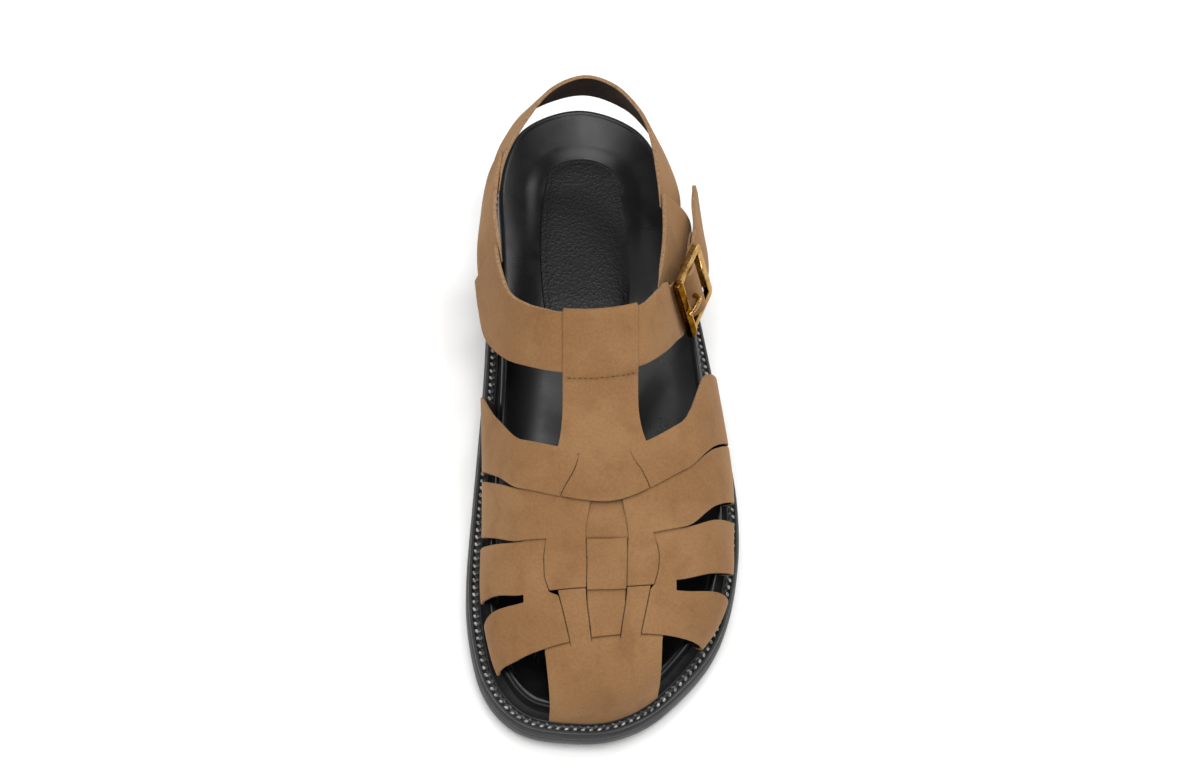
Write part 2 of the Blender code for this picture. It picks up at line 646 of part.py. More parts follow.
def ankle_strap_edges(x):
    """Upper and lower edge of the ankle strap where it passes under the instep bar."""
    edges = []
    for line in ankle_strap_lines(200):
        line = line[np.argsort(line[:, 0])]
        edges.append(Vector((x, *(float(np.interp(x, line[:, 0], line[:, k])) for k in (1, 2)))))
    return edges


def loop_profile(x):
    """Points of the bar's folded end round the ankle strap, from outside over the top to inside."""
    top, low = ankle_strap_edges(x)
    up = (top - low).normalized()
    out = up.cross(Vector((-1, 0, 0))).normalized()
    if out.z < 0:
        out = -out
    lift = STRAP_THICKNESS + 2 * GAP + LOOP_ROOM
    close = STRAP_THICKNESS / 2 + GAP / 2
    points = [low - up * LOOP_TAIL + out * close, low - up * LOOP_HANG + out * lift]
    points += [low.lerp(top, part) + out * lift for part in (0.3, 0.6, 0.85)]
    turn_centre = top - up * LOOP_SINK
    for step in range(1, LOOP_TURN_STEPS + 1):
        angle = math.pi * step / LOOP_TURN_STEPS
        points.append(turn_centre + (out * math.cos(angle) + up * math.sin(angle)) * lift)
    points += [low.lerp(top, part) - out * (lift + LOOP_ROOM) for part in (0.7, 0.35)]
    points += [low - up * LOOP_HANG - out * (lift + LOOP_ROOM / 2), low - up * LOOP_TAIL - out * close]
    return points


def build_instep_bar(sheet, columns):
    """The bar from the weave up to the ankle strap, with its end folded round the strap."""
    inner, outer = columns.index(-BAR_IN), columns.index(BAR_OUT)
    for i in range(inner, outer + 1):
        start = sheet.points[sheet.index[(0, 0, i)]]
        after = sheet.points[sheet.index[(0, 1, i)]]
        part = (start.x - sheet.points[sheet.index[(0, 0, inner)]].x)
        part /= sheet.points[sheet.index[(0, 0, outer)]].x - sheet.points[sheet.index[(0, 0, inner)]].x
        x = BAR_TOP_X[0] + (BAR_TOP_X[1] - BAR_TOP_X[0]) * part
        loop = loop_profile(x)
        end, beyond = loop[0], loop[1]
        reach = (end - start).length
        pull = start + (start - after).normalized() * reach * 0.35
        push = end - (beyond - end).normalized() * reach * 0.35
        sheet.index[("bar", 0, i)] = sheet.index[(0, 0, i)]
        for row in range(1, BAR_ROWS + 1):
            t = row / BAR_ROWS
            point = (start * (1 - t) ** 3 + pull * 3 * t * (1 - t) ** 2
                     + push * 3 * t * t * (1 - t) + end * t ** 3)
            sheet.put(("bar", row, i), point)
        for row, point in enumerate(loop[1:], start=BAR_ROWS + 1):
            sheet.put(("bar", row, i), point)
    last_row = BAR_ROWS + len(loop) - 1
    for i in range(inner, outer):
        for row in range(last_row):
            sheet.quad(("bar", row, i), ("bar", row + 1, i), ("bar", row + 1, i + 1), ("bar", row, i + 1))


def build_upper(material):
    """Woven vamp, instep bar with its loop and toe strap: one wall over the true last."""
    columns = [-girth for girth in reversed(COLUMNS_IN)] + [0.0] + list(COLUMNS_OUT)
    sheet = Sheet()
    build_vamp_sheet(sheet, columns)
    build_toe_strap(sheet, columns)
    build_instep_bar(sheet, columns)
    upper = new_object("upper", sheet.points, sheet.faces, material)
    add_thickness(upper, STRAP_THICKNESS)
    return upper


# ---------------------------------------------------------------- straps round the ankle

def ribbon(name, uppers, lowers, cells, material, thickness, holes=()):
    """A strap between an upper and a lower edge, cut into cells across, with holes left out."""
    stations = len(uppers)
    vertices = []
    for upper, lower in zip(uppers, lowers):
        vertices += [tuple(Vector(upper).lerp(Vector(lower), k / cells)) for k in range(cells + 1)]
    faces = []
    for i in range(stations - 1):
        for k in range(cells):
            if (i, k) in holes:
                continue
            a = i * (cells + 1) + k
            faces.append((a, a + 1, a + cells + 2, a + cells + 1))
    item = new_object(name, vertices, faces, material)
    add_thickness(item, thickness)
    return item


def buckle_frame_axes():
    along = Vector(BUCKLE_ALONG).normalized()
    down = Vector(BUCKLE_DOWN)
    down = (down - along * down.dot(along)).normalized()
    return along, down, down.cross(along)


def at_buckle(along, down, out):
    """A point given along the strap, down across it and outwards from the buckle's centre."""
    axes = buckle_frame_axes()
    return Vector(BUCKLE_CENTRE) + axes[0] * along + axes[1] * down + axes[2] * out


def strap_over_buckle():
    """Stations of the strap under the front bar, over the centre bar and under the back bar."""
    under = -BUCKLE_DEPTH / 2 - GAP - STRAP_THICKNESS / 2
    wrap = CENTRE_BAR_RADIUS + 2 * GAP + CHAPE_THICKNESS
    over = -CENTRE_BAR_DROP + wrap + STRAP_THICKNESS / 2
    return [(along, under + (over - under) * part) for along, part in STRAP_RISE]


def build_ankle_strap(material):
    """From the inner quarter, through the bar's loop and the buckle, to the free pointed end."""
    upper, lower = ankle_strap_lines(34)
    uppers = [Vector(p) for p in upper[:-1]]
    lowers = [Vector(p) for p in lower[:-1]]
    for along, out in strap_over_buckle():
        uppers.append(at_buckle(along, -STRAP_HALF_WIDTH, out))
        lowers.append(at_buckle(along, STRAP_HALF_WIDTH, out))
    for row in STRAP_TAIL:
        uppers.append(Vector(row[1:4]))
        lowers.append(Vector(row[4:]))
    first = len(upper) - 1
    holes = {(first + 2, 2), (first + 3, 2), (first + 4, 2)}
    return ribbon("ankle_strap", uppers, lowers, 5, material, STRAP_THICKNESS, holes)


def build_heel_sling(material):
    uppers = smooth_path([row[1:4] for row in HEEL_SLING], 30)
    lowers = smooth_path([row[4:] for row in HEEL_SLING], 30)
    return ribbon("heel_sling", uppers, lowers, 2, material, STRAP_THICKNESS)


def build_quarter(name, levels, welt_stations, side, material):
    """A panel from the welt, past the footbed's rim, up to the ankle: one smooth sheet."""
    welt, rim = [], []
    for y in welt_stations:
        x = float(strap_ring_x(y, side))
        welt.append((x, y, float(sole_level("welt", y)) + SEAT))
        rim.append((x + side * QUARTER_LEAN, y, float(rim_level(y, side))))
    rows = [welt, rim] + [[row[1:4], row[4:7], row[7:]] for row in levels]
    lines = [smooth_path([row[k] for row in rows], 14) for k in range(3)]
    vertices, faces = [], []
    across = 8
    for level in range(14):
        vertices += [tuple(p) for p in smooth_path([line[level] for line in lines], across + 1)]
    for level in range(13):
        for k in range(across):
            a = level * (across + 1) + k
            faces.append((a, a + 1, a + across + 2, a + across + 1))
    item = new_object(name, vertices, faces, material)
    add_thickness(item, STRAP_THICKNESS)
    return item


# ---------------------------------------------------------------- buckle

def buckle_matrix():
    along, down, out = buckle_frame_axes()
    matrix = Matrix((along, -down, out)).transposed().to_4x4()
    matrix.translation = Vector(BUCKLE_CENTRE) * MM
    return matrix


def buckle_block(name, size, place=(0.0, 0.0, 0.0)):
    """A box in the buckle's own frame: along the strap, across it and outwards."""
    bpy.ops.mesh.primitive_cube_add(size=1.0)
    block = bpy.context.object
    block.name = name
    shape = Matrix.Diagonal((*size, 1.0))
    block.data.transform(Matrix.Scale(MM, 4) @ Matrix.Translation(place) @ shape)
    return block


def build_buckle_frame(material):
    """Cast frame with a stout front bar and a round bar across its middle."""
    frame = buckle_block("buckle_frame", (BUCKLE_LENGTH, BUCKLE_HEIGHT, BUCKLE_DEPTH))
    opening = (BUCKLE_LENGTH - 2 * BUCKLE_BAR, BUCKLE_HEIGHT - 2 * BUCKLE_BAR, 4 * BUCKLE_DEPTH)
    window = buckle_block("buckle_window", opening)
    front = buckle_block("buckle_front_bar", FRONT_BAR, FRONT_BAR_PLACE)
    length = (BUCKLE_HEIGHT - BUCKLE_BAR) * MM
    bpy.ops.mesh.primitive_cylinder_add(vertices=16, radius=CENTRE_BAR_RADIUS * MM, depth=length)
    centre = bpy.context.object
    centre.name = "buckle_centre_bar"
    drop = Matrix.Translation((0, 0, -CENTRE_BAR_DROP * MM))
    centre.data.transform(drop @ Matrix.Rotation(math.pi / 2, 4, "X"))
    for item in (frame, window, front, centre):
        for collection in list(item.users_collection):
            collection.objects.unlink(item)
    bpy.data.collections[COLLECTION].objects.link(frame)
    for item in (window, front, centre):
        bpy.data.collections[CUTTERS].objects.link(item)
        item.matrix_world = buckle_matrix()
        make_cutter(item)
    frame.matrix_world = buckle_matrix()
    frame.data.materials.append(material)
    add_boolean(frame, window, "DIFFERENCE")
    for item in (frame, front):
        bevel = item.modifiers.new("Soft edges", "BEVEL")
        bevel.width = FRAME_ROUNDING * MM
        bevel.segments = 2
    add_boolean(frame, front, "UNION")
    add_boolean(frame, centre, "UNION")
    frame.data.shade_smooth()
    frame.data.set_sharp_from_angle(angle=math.radians(50))
    return frame


def build_buckle_prong(material):
    """Round prong from the centre bar, out through the strap, resting on the front bar."""
    path = smooth_path([at_buckle(along, 0.0, out) for along, out in PRONG_PATH], 14)
    curve = bpy.data.curves.new("buckle_prong", "CURVE")
    curve.dimensions = "3D"
    curve.bevel_depth = PRONG_RADIUS * MM
    curve.bevel_resolution = 2
    curve.use_fill_caps = True
    spline = curve.splines.new("POLY")
    spline.points.add(len(path) - 1)
    for point, place in zip(spline.points, path):
        point.co = (*(place * MM), 1.0)
    prong = bpy.data.objects.new("buckle_prong", curve)
    curve.materials.append(material)
    bpy.data.collections[COLLECTION].objects.link(prong)
    return prong


def build_buckle_chape(material):
    """Thin strap stitched on the outer quarter and folded round the centre bar."""
    radius = CENTRE_BAR_RADIUS + GAP + CHAPE_THICKNESS / 2
    profile = list(CHAPE_TAIL)
    for step in range(CHAPE_TURN_STEPS + 1):
        angle = -math.pi / 2 - math.pi * step / CHAPE_TURN_STEPS
        height = -CENTRE_BAR_DROP + radius * math.sin(angle)
        profile.append((radius * math.cos(angle), height, height))
    for along, drop in ((1.4, radius - 0.4), (3.0, -0.1)):
        profile.append((along, drop - CENTRE_BAR_DROP, drop - CENTRE_BAR_DROP))
    uppers = [at_buckle(along, -CHAPE_HALF_WIDTH, upper) for along, upper, lower in profile]
    lowers = [at_buckle(along, CHAPE_HALF_WIDTH, lower) for along, upper, lower in profile]
    holes = {(row, 2) for row in range(4, 11)}
    return ribbon("buckle_chape", uppers, lowers, 5, material, CHAPE_THICKNESS, holes)


# ---------------------------------------------------------------- the whole sandal

def build_sandal():
    start_clean()
    rubber = plain_material("black rubber", (0.035, 0.035, 0.036), 0.62)
    welt = plain_material("black welt leather", (0.022, 0.022, 0.023), 0.5)
    footbed_leather = plain_material("black footbed leather", (0.012, 0.012, 0.013), 0.34)
    grained = plain_material("black grained pad", (0.016, 0.016, 0.017), 0.5)
    nubuck = plain_material("tan nubuck", (0.33, 0.18, 0.08), 0.85)
    brass = plain_material("polished brass", (0.72, 0.46, 0.13), 0.25, 1.0)
    build_outsole(rubber)
    build_midsole(welt)
    build_footbed(footbed_leather)
    build_heel_pad(grained)
    build_upper(nubuck)
    build_ankle_strap(nubuck)
    build_heel_sling(nubuck)
    build_quarter("quarter_inner", INNER_QUARTER, INNER_QUARTER_WELT, -1, nubuck)
    build_quarter("quarter_outer", OUTER_QUARTER, OUTER_QUARTER_WELT, 1, nubuck)
    build_buckle_frame(brass)
    build_buckle_prong(brass)
    build_buckle_chape(nubuck)


build_sandal()
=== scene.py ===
"""Looks of the roman (fisherman) sandal, left foot.

Tan nubuck straps woven over a black moulded footbed, a stitched welt, a rubber outsole and a brass
buckle. Lengths are millimetres in the shoe's own frame until new_piece turns them into metres: the
toe points to -Y, the heel to +Y, the buckle side to +X, and the floor is z = 0.
"""

import math

import bmesh
import bpy
import numpy as np
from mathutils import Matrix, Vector


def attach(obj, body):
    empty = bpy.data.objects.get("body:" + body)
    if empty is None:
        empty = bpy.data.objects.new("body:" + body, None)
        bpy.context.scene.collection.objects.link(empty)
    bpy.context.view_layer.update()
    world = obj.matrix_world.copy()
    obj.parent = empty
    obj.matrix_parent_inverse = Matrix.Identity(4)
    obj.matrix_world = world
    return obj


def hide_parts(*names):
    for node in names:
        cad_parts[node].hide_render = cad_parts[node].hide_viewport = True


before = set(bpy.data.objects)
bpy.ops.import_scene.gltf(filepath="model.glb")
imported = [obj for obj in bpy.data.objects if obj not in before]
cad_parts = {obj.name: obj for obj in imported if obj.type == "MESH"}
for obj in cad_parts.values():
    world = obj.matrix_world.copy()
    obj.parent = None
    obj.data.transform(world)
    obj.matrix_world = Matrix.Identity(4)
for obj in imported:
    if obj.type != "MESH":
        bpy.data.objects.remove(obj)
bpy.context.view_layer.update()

MM = 0.001

# ---------------------------------------------------------------- sizes, millimetres

WOVEN = 1.2                  # one layer of the woven straps' nubuck
LEVEL = 1.27                 # an upper layer of the weave lies this far over the lower one
BAND = 1.5                   # nubuck with its lining: ankle strap, sling and quarters
CAD_STRAP = 2.1              # the straps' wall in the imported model
CAD_GAP = 0.35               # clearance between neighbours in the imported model
SEAT = 0.6                   # height of the straps' lower ends above the welt
MIDSOLE = 3.0                # the welt's layer, from its underside to its flat top
LAP = 3.0                    # how far a woven strap reaches under its neighbour
EDGE_ROUNDING = 0.32         # of the ankle strap, the sling and the quarters
WELT_PITCH, SEAM_PITCH = 2.9, 1.95         # from one stitch to the next
STITCH_SUNK = 0.3            # share of a stitch's thickness that lies in the leather
RING_POINTS = 600            # points round one level of the sole
WELD = 0.05                  # points of one piece closer than this are joined

BUCKLE_LENGTH, BUCKLE_HEIGHT, BUCKLE_BAR, BUCKLE_DEPTH = 22.4, 28.0, 3.2, 2.6
FRONT_BAR, FRONT_BAR_LENGTH = (4.5, 3.4), 28.4     # the stout front bar's section and length
FRONT_BAR_PLACE = (-10.15, 0.45)                   # along and out, from the buckle's centre
# In the buckle's frame: the prong's path (along, out), the chape's tail (along, upper and lower out).
PRONG_PATH = ((-2.4, -1.2), (-3.2, 1.6), (-4.2, 3.8), (-6.2, 4.2), (-9.0, 4.0), (-11.0, 3.7), (-12.4, 3.1))
CHAPE_TAIL = ((21.0, -7.2, -7.8), (17.0, -6.5, -6.9), (12.0, -5.2, -5.3), (6.0, -4.1, -4.1))
CENTRE_BAR_RADIUS, CENTRE_BAR_DROP = 1.0, 2.0
PRONG_RADIUS = 1.0
CHAPE, CHAPE_HALF_WIDTH = 1.0, 6.8
# Where the buckle sits, which way the strap runs through it and which way is down across the strap.
BUCKLE_CENTRE = (33.0, 28.9, 58.0)
BUCKLE_ALONG = (0.394, 0.918, -0.052)
BUCKLE_DOWN = (0.250, -0.228, -0.941)

# Outline of the outsole from above, anticlockwise corners of one closed smooth curve.
OUTLINE = (
    (-12.0, -129.5), (4.0, -127.6), (20.0, -118.2), (38.0, -97.5), (47.6, -71.0), (50.6, -36.0),
    (45.2, 10.0), (38.8, 55.0), (31.8, 94.0), (20.0, 119.0), (-5.0, 129.5), (-30.0, 119.0),
    (-40.6, 94.0), (-41.6, 60.0), (-43.6, 18.0), (-47.4, -26.0), (-50.6, -65.0), (-50.0, -89.0),
    (-44.6, -111.5), (-32.0, -125.6),
)

# Levels of the sole along its length: underside, top of the welt, footbed floor, rims and inset.
SOLE_COLUMNS = ("y", "under", "welt", "floor", "rim_in", "rim_out", "inset")
SOLE = (
    (-129.5, 4.4, 16.2, 20.6, 22.9, 22.9, 7.0),
    (-116.0, 1.9, 15.9, 20.6, 23.6, 23.6, 7.7),
    (-101.0, 0.4, 15.2, 20.8, 24.6, 24.6, 8.2),
    (-90.0, 0.0, 15.0, 20.6, 24.6, 24.6, 8.2),
    (-60.0, 0.0, 14.5, 20.4, 24.8, 24.8, 8.2),
    (-24.0, 0.0, 14.6, 21.6, 26.8, 26.2, 7.8),
    (8.0, 2.2, 15.8, 24.2, 31.5, 28.6, 7.0),
    (26.0, 2.2, 17.0, 26.4, 34.6, 31.0, 6.2),
    (44.0, 0.0, 18.2, 28.4, 35.8, 33.4, 5.3),
    (80.0, 0.0, 20.2, 29.4, 37.2, 36.6, 3.9),
    (112.0, 0.0, 21.2, 30.6, 38.0, 38.0, 3.6),
    (129.5, 1.4, 21.6, 32.0, 38.4, 38.4, 3.6),
)

# Sections of the last over the foot: its ridge, roundness and how far the straps stand out.
LAST_COLUMNS = ("y", "ridge_x", "ridge_z", "power", "out_in", "out_out")
LAST = (
    (-118.0, -4.0, 37.5, 2.10, 1.6, 1.8),
    (-104.0, -3.5, 44.0, 2.10, 1.5, 4.2),
    (-89.0, -3.2, 50.0, 2.10, 1.4, 4.8),
    (-72.0, -3.0, 54.8, 2.05, 1.5, 4.0),
    (-58.0, -3.0, 58.5, 2.00, 1.5, 2.6),
    (-44.0, -3.0, 64.5, 1.95, 2.2, 2.4),
    (-16.0, -3.8, 75.2, 1.90, 4.2, 2.2),
    (6.0, -4.2, 86.0, 1.85, 6.0, 2.0),
)

# Edges of the cross straps: place along the foot at nine girths, inner welt to outer welt.
GIRTHS = (-2.0, -1.0, -0.88, -0.68, 0.0, 0.57, 0.84, 1.0, 2.0)
STRAP_EDGES = {
    "fourth, back": (2.0, -1.5, -21.0, -34.0, -43.5, -30.0, -6.0, 4.8, 9.0),
    "fourth, front": (-26.5, -31.0, -42.3, -51.2, -60.0, -46.5, -32.3, -20.6, -16.0),
    "third, back": (-31.0, -35.0, -44.8, -51.2, -60.0, -46.5, -33.2, -21.6, -17.5),
    "third, front": (-52.7, -57.2, -65.0, -70.0, -72.5, -66.5, -54.0, -44.0, -39.5),
    "second, back": (-59.0, -61.8, -67.2, -70.0, -72.5, -66.5, -59.3, -53.0, -49.0),
    "second, front": (-78.8, -83.3, -86.4, -89.0, -89.0, -86.0, -79.8, -72.5, -68.0),
    "first, back": (-89.5, -91.3, -90.1, -89.0, -89.0, -86.0, -84.8, -82.5, -79.5),
    "first, front": (-105.5, -110.0, -109.7, -108.2, -104.5, -103.0, -102.5, -101.0, -96.5),
}
WELT_GIRTH = 2.0                           # the straps end on the welt at this girth
WEAVE_IN, WEAVE_OUT = -0.68, 0.57          # outermost girths of the weave
TOE_IN, TOE_OUT = -0.56, 0.62              # the toe strap's edges where it leaves the weave
BAR_TOP_X = (-17.0, 9.6)                   # the instep bar's edges at the ankle strap
TOE_WELT_X = (-22.3, 16.0)                 # the toe strap's edges at the welt

# Lines along the foot that bound the lengthwise strips of the weave: (y, x) from front to back.
SEAM_LINES = {
    "bar, inner": ((-62.0, -29.0), (-43.5, -19.8), (-36.0, -18.0)),
    "bar, outer": ((-62.0, 23.0), (-48.0, 16.4), (-41.0, 12.7), (-36.0, 10.8)),
    "tongue, inner": ((-61.0, -19.6), (-55.8, -17.6), (-47.4, -12.8), (-40.0, -10.6)),
    "tongue, outer": ((-60.0, 14.4), (-54.9, 13.0), (-48.9, 10.1), (-45.4, 7.3), (-40.0, 4.6)),
    "tab, inner": ((-92.0, -21.6), (-88.8, -22.6), (-83.2, -24.1), (-77.2, -24.2), (-72.2, -23.2),
                   (-66.0, -21.6), (-55.0, -19.6)),
    "tab, outer": ((-90.0, 12.9), (-86.8, 13.9), (-81.8, 15.3), (-77.8, 15.7), (-74.3, 15.2),
                   (-70.7, 13.7), (-66.0, 12.4), (-52.0, 9.6)),
    "centre, inner": ((-110.0, -7.8), (-101.4, -8.8), (-90.0, -9.9), (-80.0, -9.6), (-71.5, -9.8),
                      (-60.8, -8.1), (-50.0, -6.4)),
    "centre, outer": ((-110.0, 1.3), (-103.4, 2.0), (-90.0, 4.1), (-80.0, 4.5), (-71.8, 4.8),
                      (-60.8, 3.4), (-50.0, 2.2)),
    "finger, inner": ((-112.0, -14.4), (-105.4, -15.7), (-99.4, -17.1), (-91.8, -19.0), (-84.0, -21.0)),
    "finger, outer": ((-112.0, 7.0), (-104.0, 8.7), (-91.9, 11.6), (-84.0, 13.3)),
    "blunt, inner": ((-120.0, -31.3), (-60.0, -31.3)),
    "blunt, outer": ((-120.0, 21.7), (-60.0, 21.7)),
}

# Hidden strips under the tabs and fingers: strip, side of the foot, its sign, back and front end.
HIDDEN_STRIPS = (
    ("tab", "inner", -1, -79.0, -86.8),
    ("tab", "outer", 1, -79.0, -85.2),
    ("finger", "inner", -1, -93.0, -101.0),
    ("finger", "outer", 1, -93.0, -100.0),
)
HIDDEN_LAP = 2.5                           # how far they reach under the sheet at both sides

# Upper and lower edge of the ankle strap's middle layer, from its inner end to the buckle.
ANKLE_STRAP = (
    (-40.3, 33.5, 79.0, -46.8, 36.0, 51.5),
    (-38.8, 24.5, 78.4, -45.6, 24.0, 50.5),
    (-35.6, 14.0, 78.2, -43.2, 9.5, 53.0),
    (-29.6, 8.2, 79.8, -36.6, -2.6, 59.8),
    (-22.0, 4.6, 81.6, -27.5, -10.2, 66.5),
    (-17.0, 3.0, 82.5, -17.0, -15.0, 71.0),
    (-4.0, 2.2, 83.7, -4.0, -16.3, 73.2),
    (10.0, 6.8, 80.9, 10.3, -12.2, 70.6),
    (17.4, 15.2, 78.0, 19.8, -2.6, 64.0),
    (20.9, 20.6, 74.8, 25.6, 8.0, 54.8),
)
BAND_END = (-12.1, 12.6, -3.0, -3.0)       # at the buckle: along it, half width and the edges' levels
# Its way through the buckle: place along it, share of the rise over the centre bar, half width.
STRAP_RISE = (
    (-12.1, -0.12, 13.8), (-9.6, -0.01, 12.1), (-7.4, 0.01, 10.7), (-4.0, 0.60, 10.6), (-2.0, 0.93, 10.6),
    (0.0, 1.0, 10.6), (2.0, 0.93, 10.6), (4.0, 0.62, 10.6), (7.4, 0.08, 10.7), (9.6, -0.01, 10.7),
    (12.1, -0.02, 10.7),
)
STRAP_TAIL = (
    (32.9, 45.0, 65.6, 39.9, 41.5, 46.6),
    (34.1, 52.5, 65.6, 40.2, 50.5, 46.8),
    (34.1, 61.5, 65.0, 38.6, 60.5, 50.0),
    (35.2, 72.0, 62.6, 36.4, 72.0, 57.8),
)
HEEL_SLING = (
    (-38.8, 56.0, 81.0, -41.9, 58.0, 66.0),
    (-36.2, 70.0, 83.9, -40.4, 74.0, 68.4),
    (-28.2, 85.0, 86.3, -35.8, 86.8, 70.5),
    (-18.8, 97.4, 87.6, -26.0, 99.2, 72.8),
    (-6.7, 103.2, 88.0, -7.0, 105.4, 74.4),
    (4.6, 99.4, 87.6, 9.0, 100.0, 73.6),
    (13.0, 89.6, 86.6, 18.4, 90.0, 71.8),
    (17.0, 80.0, 85.4, 24.4, 80.6, 67.2),
    (19.2, 66.0, 83.0, 28.9, 68.0, 62.2),
    (19.9, 50.0, 80.0, 29.3, 52.0, 60.6),
)
# Front, middle and back of each quarter above the footbed's rim: waist, upper and top levels.
QUARTER_LEVELS = {
    "inner": (((-44.4, 26.0, 50.0), (-45.6, 45.0, 51.5), (-44.0, 60.5, 54.0)),
              ((-41.2, 27.5, 64.0), (-43.6, 49.0, 66.0), (-42.2, 69.0, 70.0)),
              ((-38.0, 27.5, 77.6), (-40.4, 50.0, 80.2), (-37.8, 72.5, 84.0))),
    "outer": (((30.6, 31.5, 50.0), (32.6, 45.0, 51.0), (33.8, 60.0, 52.5)),
              ((22.4, 27.0, 65.0), (26.6, 41.0, 65.8), (29.9, 57.0, 67.0)),
              ((18.3, 19.5, 73.0), (20.8, 37.0, 79.2), (21.3, 55.5, 80.8))),
}
QUARTER_WELT = {"inner": (24.0, 40.0, 56.0), "outer": (34.0, 48.0, 62.0)}

PAD_BACK, PAD_FRONT = 106.0, 14.0
PAD_HALF_WIDTH, PAD_CENTRE_X = 17.0, -4.6
PAD_LIP = 1.1                # the pad lies this much sunk in the footbed
PAD_UNDER, PAD_EDGE = 0.42, 0.55           # its underside and its top's edge over the footbed

SPINE_FRONT, SPINE_BACK = -85.5, 89.5      # ends of the sole's middle line
SPINE_X = (-3.0, -4.8)       # where that line runs at its two ends
RIM_CENTRE_X = -4.0          # the inner and the outer rim's levels meet on this line
GROOVE_DEPTH, GROOVE_HALF, GROOVE_FADE = 1.6, 1.1, 0.6      # deep, half of wide, and soft at the edge
FOREFOOT_GROOVES = (-84.0, -71.0, -58.0, -45.0, -32.0)
HEEL_GROOVES = (52.0, 66.0, 80.0, 94.0)


# ---------------------------------------------------------------- curves and tables

def unit(vectors):
    """Vectors of length one along the last axis."""
    return vectors / np.maximum(np.linalg.norm(vectors, axis=-1, keepdims=True), 1e-9)


def ease(value):
    """Smooth step from 0 to 1: 3t^2 - 2t^3 between the ends."""
    t = np.clip(value, 0.0, 1.0)
    return t * t * (3 - 2 * t)


def between(value, low, high, soft):
    """1 between low and high, fading to 0 over the soft distance outside them."""
    return ease((value - low + soft) / soft) * ease((high + soft - value) / soft)


def smooth_table(xs, ys, at):
    """Cubic pieces through (x, y) rows that never overshoot one, for an array of any shape."""
    xs, ys = np.array(xs, float), np.array(ys, float)
    step = np.diff(xs)
    rise = np.diff(ys) / step
    both = rise[:-1] * rise[1:]
    mean = 2 * both / np.where(np.abs(rise[:-1] + rise[1:]) < 1e-9, 1.0, rise[:-1] + rise[1:])
    slope = np.concatenate([rise[:1], np.where(both > 0, mean, 0.0), rise[-1:]])
    at = np.clip(at, xs[0], xs[-1])
    i = np.clip(np.searchsorted(xs, at) - 1, 0, len(step) - 1)
    t = (at - xs[i]) / step[i]
    return (ys[i] * (1 + 2 * t) * (1 - t) ** 2 + ys[i + 1] * t * t * (3 - 2 * t)
            + step[i] * (slope[i] * t * (1 - t) ** 2 + slope[i + 1] * t * t * (t - 1)))


def levels_of(rows, columns):
    """Reader of a table along the foot: the value of a named column at places y."""
    table = np.array(rows)
    return lambda name, y: smooth_table(table[:, 0], table[:, columns.index(name)], y)


sole_level = levels_of(SOLE, SOLE_COLUMNS)
last_level = levels_of(LAST, LAST_COLUMNS)


def smooth_path(corners, count, closed=False):
    """Rows spaced evenly by length along a Catmull-Rom curve through rows of any shape."""
    corners = np.array(corners, float)
    shape = corners.shape[1:]
    corners = corners.reshape(len(corners), -1)
    number = len(corners)
    spans = number if closed else number - 1
    at = np.linspace(0, spans, spans * 30 + 1)
    index = np.minimum(at.astype(int), spans - 1)
    t = (at - index)[:, None]
    if closed:
        before, here, there, after = (corners[(index + k) % number] for k in (-1, 0, 1, 2))
    else:
        ends = np.vstack([2 * corners[0] - corners[1], corners, 2 * corners[-1] - corners[-2]])
        before, here, there, after = (ends[index + k] for k in range(4))
    curve = 0.5 * (2 * here + (there - before) * t
                   + (2 * before - 5 * here + 4 * there - after) * t ** 2
                   + (3 * here - before - 3 * there + after) * t ** 3)
    length = np.append(0, np.cumsum(np.linalg.norm(np.diff(curve, axis=0), axis=1)))
    stops = np.linspace(0, length[-1], count, endpoint=not closed)
    columns = [np.interp(stops, length, curve[:, k]) for k in range(curve.shape[1])]
    return np.stack(columns, axis=1).reshape(count, *shape)


def inset_ring(ring, distance):
    """Moves a closed anticlockwise outline inwards along its own normals."""
    along = unit(np.roll(ring, -1, axis=0) - np.roll(ring, 1, axis=0))
    inwards = np.stack([-along[:, 1], along[:, 0]], axis=1)
    return ring + inwards * np.reshape(distance, (-1, 1))


OUTLINE_RING = smooth_path(OUTLINE, RING_POINTS, closed=True)
FOOTBED_RING = inset_ring(OUTLINE_RING, sole_level("inset", OUTLINE_RING[:, 1]))
STRAP_RING = inset_ring(OUTLINE_RING, sole_level("inset", OUTLINE_RING[:, 1]) - CAD_GAP - CAD_STRAP / 2)


def side_x(ring, y, side):
    """Where a ring runs on the inner (-1) or outer (+1) side of the foot."""
    toe, heel = np.argmin(ring[:, 1]), np.argmax(ring[:, 1])
    split = np.interp(ring[:, 1], ring[[toe, heel], 1], ring[[toe, heel], 0])
    half = ring[(ring[:, 0] - split) * side >= 0]
    half = half[np.argsort(half[:, 1])]
    return np.interp(y, half[:, 1], half[:, 0])


# ---------------------------------------------------------------- the foot's surface

WALL_SHARE = 0.2             # the upright wall's share of the way from ridge to rim


def unroll(girth):
    """Even distance round the foot: the arch as a quarter turn, then the upright wall."""
    arch = np.arcsin(np.minimum(np.abs(girth), 1.0)) * 2 / math.pi
    return np.sign(girth) * (arch + WALL_SHARE * np.maximum(np.abs(girth) - 1, 0))


def roll(distance):
    """Girth at an even distance round the foot; undoes unroll."""
    far = np.abs(distance)
    arch = np.sin(np.minimum(far, 1.0) * math.pi / 2)
    return np.sign(distance) * (arch + np.maximum(far - 1, 0) / WALL_SHARE)


